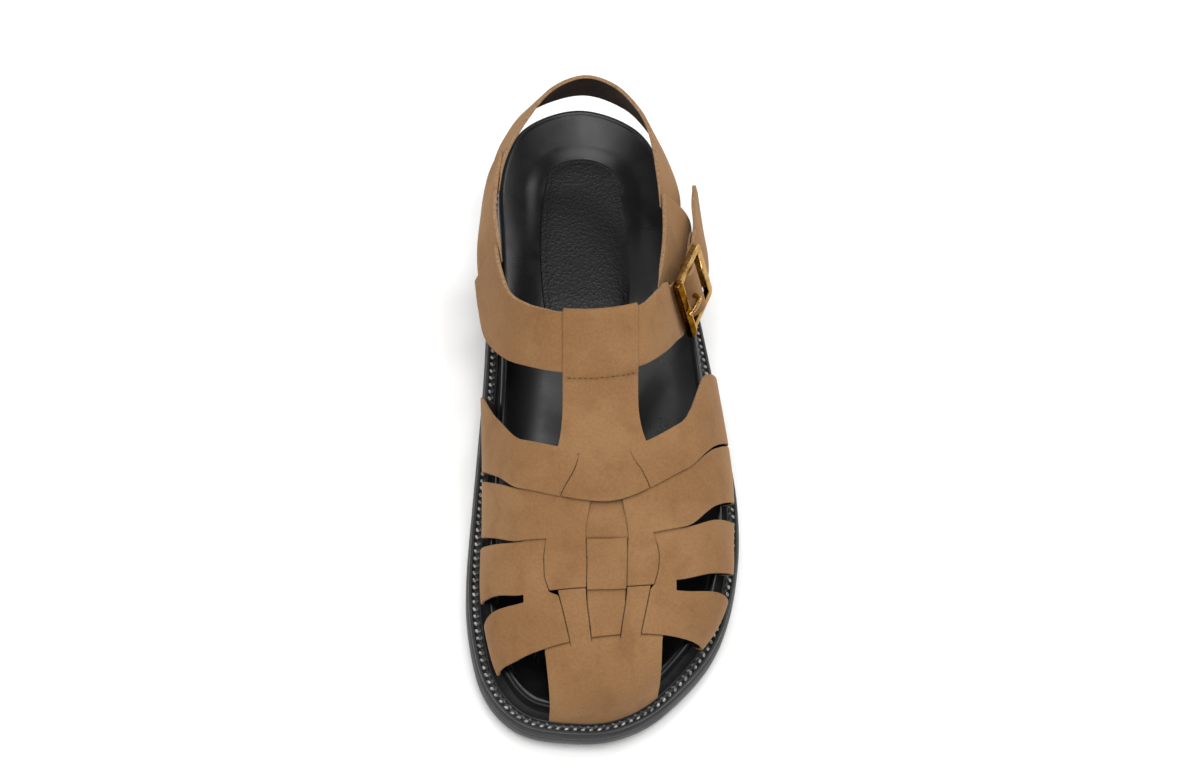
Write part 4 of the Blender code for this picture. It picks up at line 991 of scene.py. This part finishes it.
def loop_path(x):
    """The bar's folded end at each x: up in front of the ankle strap, over its top and down inside.

    Straight runs lie one layer outside and inside the strap, joined by a half circle over its top edge,
    and both ends close in under its lower edge, where the seam holds them together.
    """
    rows = band_rows(240)

    def edge_at(columns):
        """One of the strap's edges at x, from its three columns."""
        place, *others = rows[np.argsort(rows[:, columns[0]])][:, columns].T
        return np.stack([x] + [np.interp(x, place, other) for other in others], axis=1)

    top, low = edge_at([0, 1, 2]), edge_at([3, 4, 5])
    up = unit(top - low)
    out = unit(np.cross(up, (-1.0, 0.0, 0.0)))
    out = out * np.sign(out[:, 2:])
    lift = BAND / 2 + 0.12 + WOVEN / 2
    close = WOVEN / 2 + 0.06

    def run(side):
        """One run from its closed end up to the strap's top edge, outside (1) or inside (-1)."""
        closing = ((4.5, close), (2.6, close + 0.05), (0.9, lift * 0.86))
        return ([low - up * drop + out * (side * away) for drop, away in closing]
                + [low + (top - low) * share + out * (side * lift) for share in (0.08, 0.35, 0.65, 0.92)])

    fold = [top - up * 0.7 + (out * math.cos(angle) + up * math.sin(angle)) * lift
            for angle in np.linspace(0, math.pi, 7)[1:-1]]
    return smooth_path(run(1) + fold + run(-1)[::-1], 96)


def make_third_strap():
    """Two halves of the third cross strap, each with a tab that runs forward over the second strap."""
    back, front = edge("third, back", lap_under), edge("third, front")

    def rising(y, girth, v):
        """Up from under the fourth strap to the weave's upper level."""
        return LEVEL * ease(v / 0.8) * weave_window(girth)

    def falling(y, girth, v):
        """The tab comes down to lie flush in the second strap within 5 mm."""
        return LEVEL * (1 - ease((front(girth) - y) / 5.0)) * weave_window(girth)

    for name, side in (("inner", -1), ("outer", 1)):
        lines = [at_girth(WELT_GIRTH * side), seam(f"tab, {name}"), seam(f"centre, {name}")]
        wide, tab = lines[:2][::-side], lines[1:][::-side]
        grids = [sheet(back, front, *ends, 20, columns, rising)
                 for ends, columns in ((wide, 60), (tab, 18))[::-side]]
        grids.append(sheet(front, edge("second, front", 0.08), *tab, 22, 18, falling))
        woven_piece(f"third_strap_{name}", grids)


def make_centre_strip():
    """Short strip along the foot's middle, from under the tongue to under the second strap.

    It comes up level with its neighbours in front of the tongue and dives steeply at its front end.
    """
    sides = seam("centre, inner"), seam("centre, outer")
    y, girth, _ = patch(at_place(-53.0), at_place(-77.5), *sides, 70, 16)
    lift = LEVEL * (ease((-61.0 - y) / 4.0) - 1.0) - (LEVEL + 0.05) * ease((-71.5 - y) / 0.9)
    woven_piece("centre_strip", [lifted_foot(y, narrowed(y, girth, *sides, 1.06), lift)])


def shifted(line, distance):
    """A line along the foot moved across it by a distance in millimetres, positive to the outer side."""
    return lambda y: line(y) + distance / np.abs(reach(y, line(y) < 0))


def joined(back_line, front_line, start, end):
    """A line that follows one seam behind the start, another in front of the end, and eases between."""
    def line(y):
        """Girth of the eased line."""
        share = ease((start - y) / (start - end))
        return back_line(y) * (1 - share) + front_line(y) * share
    return line


def make_double_strap():
    """Second and first cross straps, cut as one sheet with a wedge opening at each side.

    Between a wedge's blunt end and the woven part the two are one. The third strap's tabs and the toe
    strap's fingers lie flush in the woven part, each with a narrow slit at both sides, and short strips
    one layer below carry the middle of each strap past them.
    """
    def opening(girth, inner_more, outer_more):
        """How far an edge stands back from the seam: more between a wedge's blunt end and the welt."""
        inner = ease((-0.58 - girth) / 0.05) * ease((girth + 0.98) / 0.28)
        outer = ease((girth - 0.50) / 0.05) * ease((0.98 - girth) / 0.35)
        return 0.2 + inner_more * inner + outer_more * outer

    second = edge("second, back", lap_under), edge("second, front", lambda girth: opening(girth, 0.1, 1.0))
    first = edge("first, back", lambda girth: -opening(girth, 2.1, 2.2)), edge("first, front")
    slit = 0.18
    inner_seam = shifted(joined(seam("tab, inner"), seam("finger, inner"), -89.2, -91.0), -slit)
    outer_seam = shifted(joined(seam("tab, outer"), seam("finger, outer"), -87.1, -89.2), slit)
    grids = []
    for lines, widths in (((at_girth(-WELT_GIRTH), seam("blunt, inner"), inner_seam), (60, 14)),
                          ((outer_seam, seam("blunt, outer"), at_girth(WELT_GIRTH)), (14, 60))):
        for back, front in (second, first):
            grids += [sheet(back, front, *lines[k:k + 2], 26, widths[k]) for k in (0, 1)]
        bridge = widths.index(14)
        grids.append(sheet(second[1], first[0], *lines[bridge:bridge + 2], 5, 14))
    middle = shifted(seam("centre, inner"), slit), shifted(seam("centre, outer"), -slit)
    grids.append(sheet(edge("second, back", -0.1), edge("second, front", -0.7), *middle, 26, 16,
                       lambda y, girth, v: 0.35 * np.sin(v * math.pi)))
    grids.append(sheet(edge("first, back", LAP), first[1], *middle, 26, 16,
                       lambda y, girth, v: -LEVEL * (1 - ease((-90.2 - y) / 4.5))))
    for strip, name, side, back, front in HIDDEN_STRIPS:
        outer, centre = seam(f"{strip}, {name}"), seam(f"centre, {name}")
        lines = [shifted(outer, HIDDEN_LAP * side), shifted(centre, -HIDDEN_LAP * side)][::-side]
        grids.append(sheet(at_place(back), at_place(front), *lines, 8, 14, lambda y, girth, v: -LEVEL - 0.12))
    woven_piece("double_strap", grids)


def make_toe_strap():
    """Toe strap with two fingers that run back over the first cross strap.

    Just in front of that strap the sheet is whole. From there the fingers rise over the strap, and the
    middle and the outer parts dip under it. Forward, each line leaves the slope and lands upright on
    the welt as a cubic with those two directions.
    """
    join, under_end = edge("first, front", -1.6), edge("first, front", LAP)
    finger_end = edge("second, front", -0.14)
    lines = [at_girth(TOE_IN), seam("finger, inner"), seam("centre, inner"), seam("centre, outer"),
             seam("finger, outer"), at_girth(TOE_OUT)]
    grids, start, before = [], [], []
    for index, columns in enumerate((12, 10, 14, 10, 16)):
        is_finger = index in (1, 3)
        back, rows = (finger_end, 24) if is_finger else (under_end, 12)
        y, girth, _ = patch(back, join, lines[index], lines[index + 1], rows, columns)
        ahead = y - join(girth)
        if is_finger:
            lift = 0.2 * ease((ahead - 12.0) / 4.0)
            girth = narrowed(y, girth, lines[index], lines[index + 1], 1 - 0.02 * ease(ahead / 2.6))
        else:
            lift = -LEVEL * ease(ahead / 1.7)
        grids.append(lifted_foot(y, girth, lift))
        skip = min(index, 1)
        start.append(grids[-1][-1, skip:])
        before.append(lifted_foot(join(girth[-1]) + 1.0, girth[-1], 0.0)[skip:])
    start, before = np.concatenate(start), np.concatenate(before)
    flat = unroll(girth_of(start[:, 0], start[:, 1]))
    part = (flat - flat[0]) / (flat[-1] - flat[0])
    toe_ring = inset_ring(OUTLINE_RING, stitch_inset() + 1.5 + WOVEN / 2)
    front_half = toe_ring[toe_ring[:, 1] < -60.0]
    toe = front_half[np.argsort(front_half[:, 0])]
    x = TOE_WELT_X[0] + (TOE_WELT_X[1] - TOE_WELT_X[0]) * part
    y = np.interp(x, toe[:, 0], toe[:, 1])
    rim = np.stack([x, y + 0.6, sole_level("rim_out", y)], axis=1)
    foot = np.stack([x, y, sole_level("welt", y) + SEAT], axis=1)
    far = np.linalg.norm(rim - start, axis=1, keepdims=True)
    pull = start + unit(start - before) * far * 0.42
    push = rim + np.array((0.0, 0.0, 1.0)) * far * 0.38
    toe_part = cubic(start, pull, push, rim, 40)
    forward = (toe_part[..., 1] - start[:, 1]) / (rim[:, 1] - start[:, 1])
    toe_part[..., 0] = start[:, 0] + (rim[:, 0] - start[:, 0]) * forward
    drop = np.linspace(0, 1, 8)[1:, None, None]
    wall = rim * (1 - drop) + foot * drop
    woven_piece("toe_strap", grids + [np.concatenate([toe_part, wall])])


# ---------------------------------------------------------------- straps round the ankle

def buckle_axes():
    """Along the strap, down across it and outwards."""
    along = Vector(BUCKLE_ALONG).normalized()
    down = Vector(BUCKLE_DOWN)
    down = (down - along * down.dot(along)).normalized()
    return [np.array(axis) for axis in (along, down, down.cross(along))]


def at_buckle(along, down, out):
    """Points given along the strap, down across it and outwards from the buckle's centre."""
    axes = buckle_axes()
    along, down, out = np.broadcast_arrays(along, down, out)
    steps = [np.multiply.outer(value, axis) for value, axis in zip((along, down, out), axes)]
    return np.array(BUCKLE_CENTRE) + sum(steps)


def edge_stops(count, rounding):
    """Shares from 0 to 1 with extra stops at both ends, for an edge rounded over that share."""
    start = rounding * np.array([0.0, 0.13, 0.5])
    return np.concatenate([start, np.linspace(rounding, 1 - rounding, count), 1 - start[::-1]])


def ruled(rows, across):
    """A strap between paired edges: straight across from the upper edge to the lower one."""
    share = across[None, :, None]
    return rows[:, None, :3] * (1 - share) + rows[:, None, 3:] * share


def resampled(grid, shares):
    """Rows of a grid read at shares of the way from the first to the last."""
    at = shares * (len(grid) - 1)
    low = np.minimum(at.astype(int), len(grid) - 2)
    part = (at - low)[:, None, None]
    return grid[low] * (1 - part) + grid[low + 1] * part


def leather_strap(name, grid, thickness):
    """A closed strap whose thickness changes along its rows, so that its ends can be skived thin.

    Both faces lie half the thickness from the middle layer. Within the rounding of an edge the half
    thickness falls by the rise of a quarter circle, and cut edges get their own material.
    """
    normal = unit(np.cross(np.gradient(grid, axis=0), np.gradient(grid, axis=1)))
    half = np.asarray(thickness)[:, None] / 2

    def from_edges(step):
        """Distance of each point from the nearer end, from the steps between points."""
        length = np.cumsum(np.concatenate([np.zeros_like(step[:1]), step]), axis=0)
        return np.minimum(length, length[-1] - length)

    across = from_edges(np.linalg.norm(np.diff(grid, axis=1), axis=2).T).T
    along = from_edges(np.linalg.norm(np.diff(grid, axis=0), axis=2))
    round_of = np.minimum(EDGE_ROUNDING, half * 0.8)
    inside = np.minimum(np.minimum(across, along) / round_of, 1.0)
    half = half - round_of * (1 - np.sqrt(np.maximum(1 - (1 - inside) ** 2, 0.0)))
    offset = normal * half[..., None]
    shell = np.concatenate([grid + offset, (grid - offset)[:, ::-1]], axis=1)
    flat = np.concatenate([grid, grid[:, ::-1]], axis=1)
    shell = np.concatenate([flat[:1], shell, flat[-1:]])
    count = grid.shape[1]
    kind = np.full(2 * count, 2)
    kind[2:count - 3] = 0
    kind[count + 2:2 * count - 3] = 1
    tints = np.tile(kind, (len(shell) - 1, 1))
    tints[:3] = tints[-3:] = 2
    new_piece(name, [shell], LEATHER, [name], closed=True, tints=tints.ravel())


def strap_rows():
    """Edges of the whole ankle strap: round the instep, through the buckle and out to its point."""
    under = -BUCKLE_DEPTH / 2 - CAD_GAP - CAD_STRAP / 2
    wrap = CENTRE_BAR_RADIUS + 2 * CAD_GAP + CHAPE
    over = -CENTRE_BAR_DROP + wrap + CAD_STRAP / 2
    rise = [strap_row(along, half_width, *[under + (over - under) * part] * 2)
            for along, part, half_width in STRAP_RISE]
    return smooth_path([*ANKLE_STRAP, *rise, *STRAP_TAIL], 260)


def make_ankle_strap():
    """One long strap: its inner end under the inner quarter, its free end cut to a rounded point."""
    grid = ruled(strap_rows(), edge_stops(22, 0.016))[:, ::-1]
    grid = resampled(grid, edge_stops(250, 0.0016))
    leather_strap("ankle_strap", grid, np.full(len(grid), BAND))


def make_heel_sling():
    """The strap round the heel, skived at both ends where it is sewn inside the quarters."""
    grid = ruled(smooth_path(HEEL_SLING, 200), edge_stops(16, 0.02))
    grid = resampled(grid, edge_stops(180, 0.0016))
    length = np.append(0, np.cumsum(np.linalg.norm(np.diff(grid[:, 10], axis=0), axis=1)))
    end = np.minimum(length, length[-1] - length)
    thickness = 0.35 + (BAND - 0.35) * ease((end - 2.0) / 14.0)
    leather_strap("heel_sling", grid, thickness)


def make_quarter(name, side):
    """A side panel: three upright lines from the welt past the rim to the ankle, and curves across.

    Its front edge is skived where it is sewn inside the ankle strap.
    """
    welt, rim = [], []
    for y in QUARTER_WELT[name]:
        x = float(side_x(STRAP_RING, y, side))
        level = "rim_in" if side < 0 else "rim_out"
        welt.append((x, y, float(sole_level("welt", y)) + SEAT))
        rim.append((x + side * 0.4, y, float(sole_level(level, y))))
    upright = smooth_path([welt, rim, *QUARTER_LEVELS[name]], 90)
    grid = resampled(np.stack([smooth_path(row, 60) for row in upright]), edge_stops(60, 0.005))
    grid = resampled(grid.transpose(1, 0, 2), edge_stops(46, 0.008))
    if side < 0:
        grid = grid[:, ::-1]
    thickness = 0.4 + (BAND - 0.4) * ease((np.linspace(0, 1, len(grid)) - 0.06) / 0.22)
    leather_strap(f"quarter_{name}", grid, thickness)


# ---------------------------------------------------------------- buckle

def blunt_ring(count, wide, high, blunt=0.42):
    """A rounded rectangle's section: a superellipse with stops at even angles."""
    angle = np.linspace(0, 2 * math.pi, count, endpoint=False)
    side = np.sign(np.cos(angle)) * np.abs(np.cos(angle)) ** blunt * wide / 2
    return side, np.sign(np.sin(angle)) * np.abs(np.sin(angle)) ** blunt * high / 2


def make_buckle_frame():
    """Cast frame: a rounded section carried round a rectangle with rounded corners, with a stout front
    bar and a round bar across its middle that dips under the frame's own plane."""
    half_length = BUCKLE_LENGTH / 2 - BUCKLE_BAR / 2
    half_height = BUCKLE_HEIGHT / 2 - BUCKLE_BAR / 2
    corner = 1.3
    path, normals = [], []
    for quarter, (sign_along, sign_down) in enumerate(((1, 1), (-1, 1), (-1, -1), (1, -1))):
        centre = sign_along * (half_length - corner), sign_down * (half_height - corner)
        for turn in np.radians(np.linspace(90 * quarter, 90 * quarter + 90, 9)):
            normals.append((math.cos(turn), math.sin(turn)))
            path.append(np.add(centre, np.multiply(normals[-1], corner)))
    path, normals = np.array(path), np.array(normals)
    side, high = blunt_ring(32, BUCKLE_BAR, BUCKLE_DEPTH)
    flat = path[:, None, :] + normals[:, None, :] * side[None, :, None]
    grid = at_buckle(flat[..., 0], flat[..., 1], np.broadcast_to(high, flat.shape[:2]))
    grid = np.concatenate([grid, grid[:1]])
    # Over its last 0.9 mm the front bar's section shrinks to 0.65 by a quarter circle, then closes flat.
    stop = np.concatenate([[0.0, 0.13, 0.5, 0.9], np.linspace(2.0, FRONT_BAR_LENGTH / 2, 12)])
    scale = np.sqrt(np.clip(1 - (1 - np.minimum(stop / 0.9, 1.0)) ** 2, 0, 1)) * 0.35 + 0.65 * (stop > 0)
    down = np.concatenate([stop - FRONT_BAR_LENGTH / 2, FRONT_BAR_LENGTH / 2 - stop[-2::-1]])[:, None]
    scale = np.concatenate([scale, scale[-2::-1]])[:, None]
    side, high = blunt_ring(32, *FRONT_BAR, blunt=0.7)
    front = at_buckle(FRONT_BAR_PLACE[0] + side * scale, down, FRONT_BAR_PLACE[1] + high * scale)
    ends = BUCKLE_HEIGHT / 2 - BUCKLE_BAR / 2
    bar = smooth_path([(0, -ends, -0.7), (0, -ends + 2.2, -CENTRE_BAR_DROP), (0, 0, -CENTRE_BAR_DROP),
                       (0, ends - 2.2, -CENTRE_BAR_DROP), (0, ends, -0.7)], 40)
    bar = tube(at_buckle(bar[:, 0], bar[:, 1], bar[:, 2]), CENTRE_BAR_RADIUS)
    count = [(part.shape[0] - 1) * part.shape[1] for part in (grid, front, bar)]
    # The front bar stays bright brass only on the strip towards the frame's middle; the rest of its section
    # gets the darker brass, which is painted shade.
    painted_shade_side = np.where(side > FRONT_BAR[0] * 0.2, 0, 1)
    tints = [0] * count[0] + np.tile(painted_shade_side, len(front) - 1).tolist() + [0] * count[2]
    new_piece("buckle_frame", [grid, front, bar], [BRASS, SHADE_PAINTED_BRASS], ["buckle_frame"],
              closed=True, tints=tints)


def make_buckle_prong():
    """Round prong from the centre bar out through the strap, bent down at its tip on the front bar."""
    path = smooth_path([at_buckle(along, 0.0, out) for along, out in PRONG_PATH], 48)
    taper = np.interp(np.linspace(0, 1, 48), (0, 0.7, 1), (1.0, 1.0, 0.72))
    rod = tube(path, PRONG_RADIUS * taper)
    new_piece("buckle_prong", [rod], [BRASS], ["buckle_prong"], closed=True)


def make_buckle_chape():
    """Skived leather folded round the centre bar, its tail sewn to the outer quarter."""
    radius = CENTRE_BAR_RADIUS + CAD_GAP + CHAPE / 2
    profile = list(CHAPE_TAIL)
    for angle in np.linspace(-math.pi / 2, -math.pi * 1.5, 9):
        height = -CENTRE_BAR_DROP + radius * math.sin(angle)
        profile.append((radius * math.cos(angle), height, height))
    for along, drop in ((1.4, radius - 0.4), (3.0, -0.1)):
        profile.append((along, drop - CENTRE_BAR_DROP, drop - CENTRE_BAR_DROP))
    rows = [strap_row(along, CHAPE_HALF_WIDTH, upper, lower) for along, upper, lower in profile]
    grid = ruled(smooth_path(rows, 70), np.linspace(0, 1, 16))[:, ::-1]
    item = new_piece("buckle_chape", [grid], LEATHER, ["buckle_chape"])
    leather_wall(item, CHAPE - 0.1, 0.15)


# ---------------------------------------------------------------- floor, camera and light

FLOOR_HALF = 6.0             # half the floor's side, metres
CAMERA_PLACE = (-62.0, -442.5, 788.4)
CAMERA_AIM = (-1.0, 2.0, 34.0)
CAMERA_TILT = math.radians(60)             # how steeply a view straight over the toe looks down


def make_stage():
    """A plain near-white floor under the shoe, large enough to fill every view."""
    mesh = bpy.data.meshes.new("floor")
    corners = [(FLOOR_HALF * x, FLOOR_HALF * y, 0) for x, y in ((-1, -1), (1, -1), (1, 1), (-1, 1))]
    mesh.from_pydata(corners, [], [(0, 1, 2, 3)])
    floor = bpy.data.objects.new("floor", mesh)
    bpy.context.scene.collection.objects.link(floor)
    paper = Finish("white paper", Base_Color=linear("#FBFBFA"), Roughness=0.95, Specular_IOR_Level=0.1)
    mesh.materials.append(paper.material)


def make_camera():
    """Camera in front of the toe, 60 degrees up, turned from there to the middle of the one shoe.

    The turn is the shortest one from a level view straight over the toe, so that the roll stays true.
    """
    location = Vector(CAMERA_PLACE) * MM
    straight = Vector((0.0, math.cos(CAMERA_TILT), -math.sin(CAMERA_TILT)))
    forward = (Vector(CAMERA_AIM) * MM - location).normalized()
    turned = straight.rotation_difference(forward) @ straight.to_track_quat("-Z", "Y")
    data = bpy.data.cameras.new("camera")
    data.lens = 71.0
    data.sensor_width = 36.0
    data.clip_start, data.clip_end = 0.05, 20.0
    camera = bpy.data.objects.new("camera", data)
    camera.rotation_mode = "QUATERNION"
    camera.rotation_quaternion = turned
    camera.location = location
    bpy.context.scene.collection.objects.link(camera)
    bpy.context.scene.camera = camera


def soft_light(name, location, size, power):
    """A rectangular softbox that faces the shoe's origin."""
    data = bpy.data.lights.new(name, "AREA")
    data.shape = "RECTANGLE"
    data.size, data.size_y = size
    data.energy = power
    light = bpy.data.objects.new(name, data)
    light.location = location
    light.rotation_mode = "QUATERNION"
    light.rotation_quaternion = (-Vector(location)).to_track_quat("-Z", "Y")
    bpy.context.scene.collection.objects.link(light)


def make_light():
    """Even white surroundings, a large softbox overhead, weak ones at the sides, and small strips high
    behind the heel that draw the footbed's highlights. Places and sizes are metres, powers watts."""
    scene = bpy.context.scene
    scene.view_settings.view_transform = "Standard"
    world = bpy.data.worlds.new("studio")
    world.use_nodes = True
    background = world.node_tree.nodes["Background"]
    background.inputs["Color"].default_value = linear("#FFFFFF")
    background.inputs["Strength"].default_value = 0.28
    scene.world = world
    soft_light("overhead softbox", (-0.03, -0.45, 1.5), (1.4, 0.9), 21.4)
    soft_light("high strip light", (-0.03, 0.2, 1.5), (0.34, 0.12), 2.6)
    soft_light("back right strip light", (0.30, 0.55, 1.38), (0.2, 0.3), 2.2)
    soft_light("back left strip light", (-0.24, 0.48, 1.42), (0.06, 0.24), 0.9)
    soft_light("left softbox", (-1.3, -0.1, 0.9), (0.4, 0.9), 2.4)
    soft_light("right softbox", (1.3, 0.75, 0.6), (0.35, 0.8), 5.5)


# ---------------------------------------------------------------- the whole sandal

def make_sandal():
    """Every piece, from the ground up."""
    make_outsole()
    make_welt()
    make_footbed()
    make_heel_pad()
    make_instep_bar()
    make_third_strap()
    make_centre_strip()
    make_double_strap()
    make_toe_strap()
    make_ankle_strap()
    make_heel_sling()
    make_quarter("inner", -1)
    make_quarter("outer", 1)
    make_buckle_frame()
    make_buckle_prong()
    make_buckle_chape()


make_camera()
make_light()
make_stage()
make_sandal()
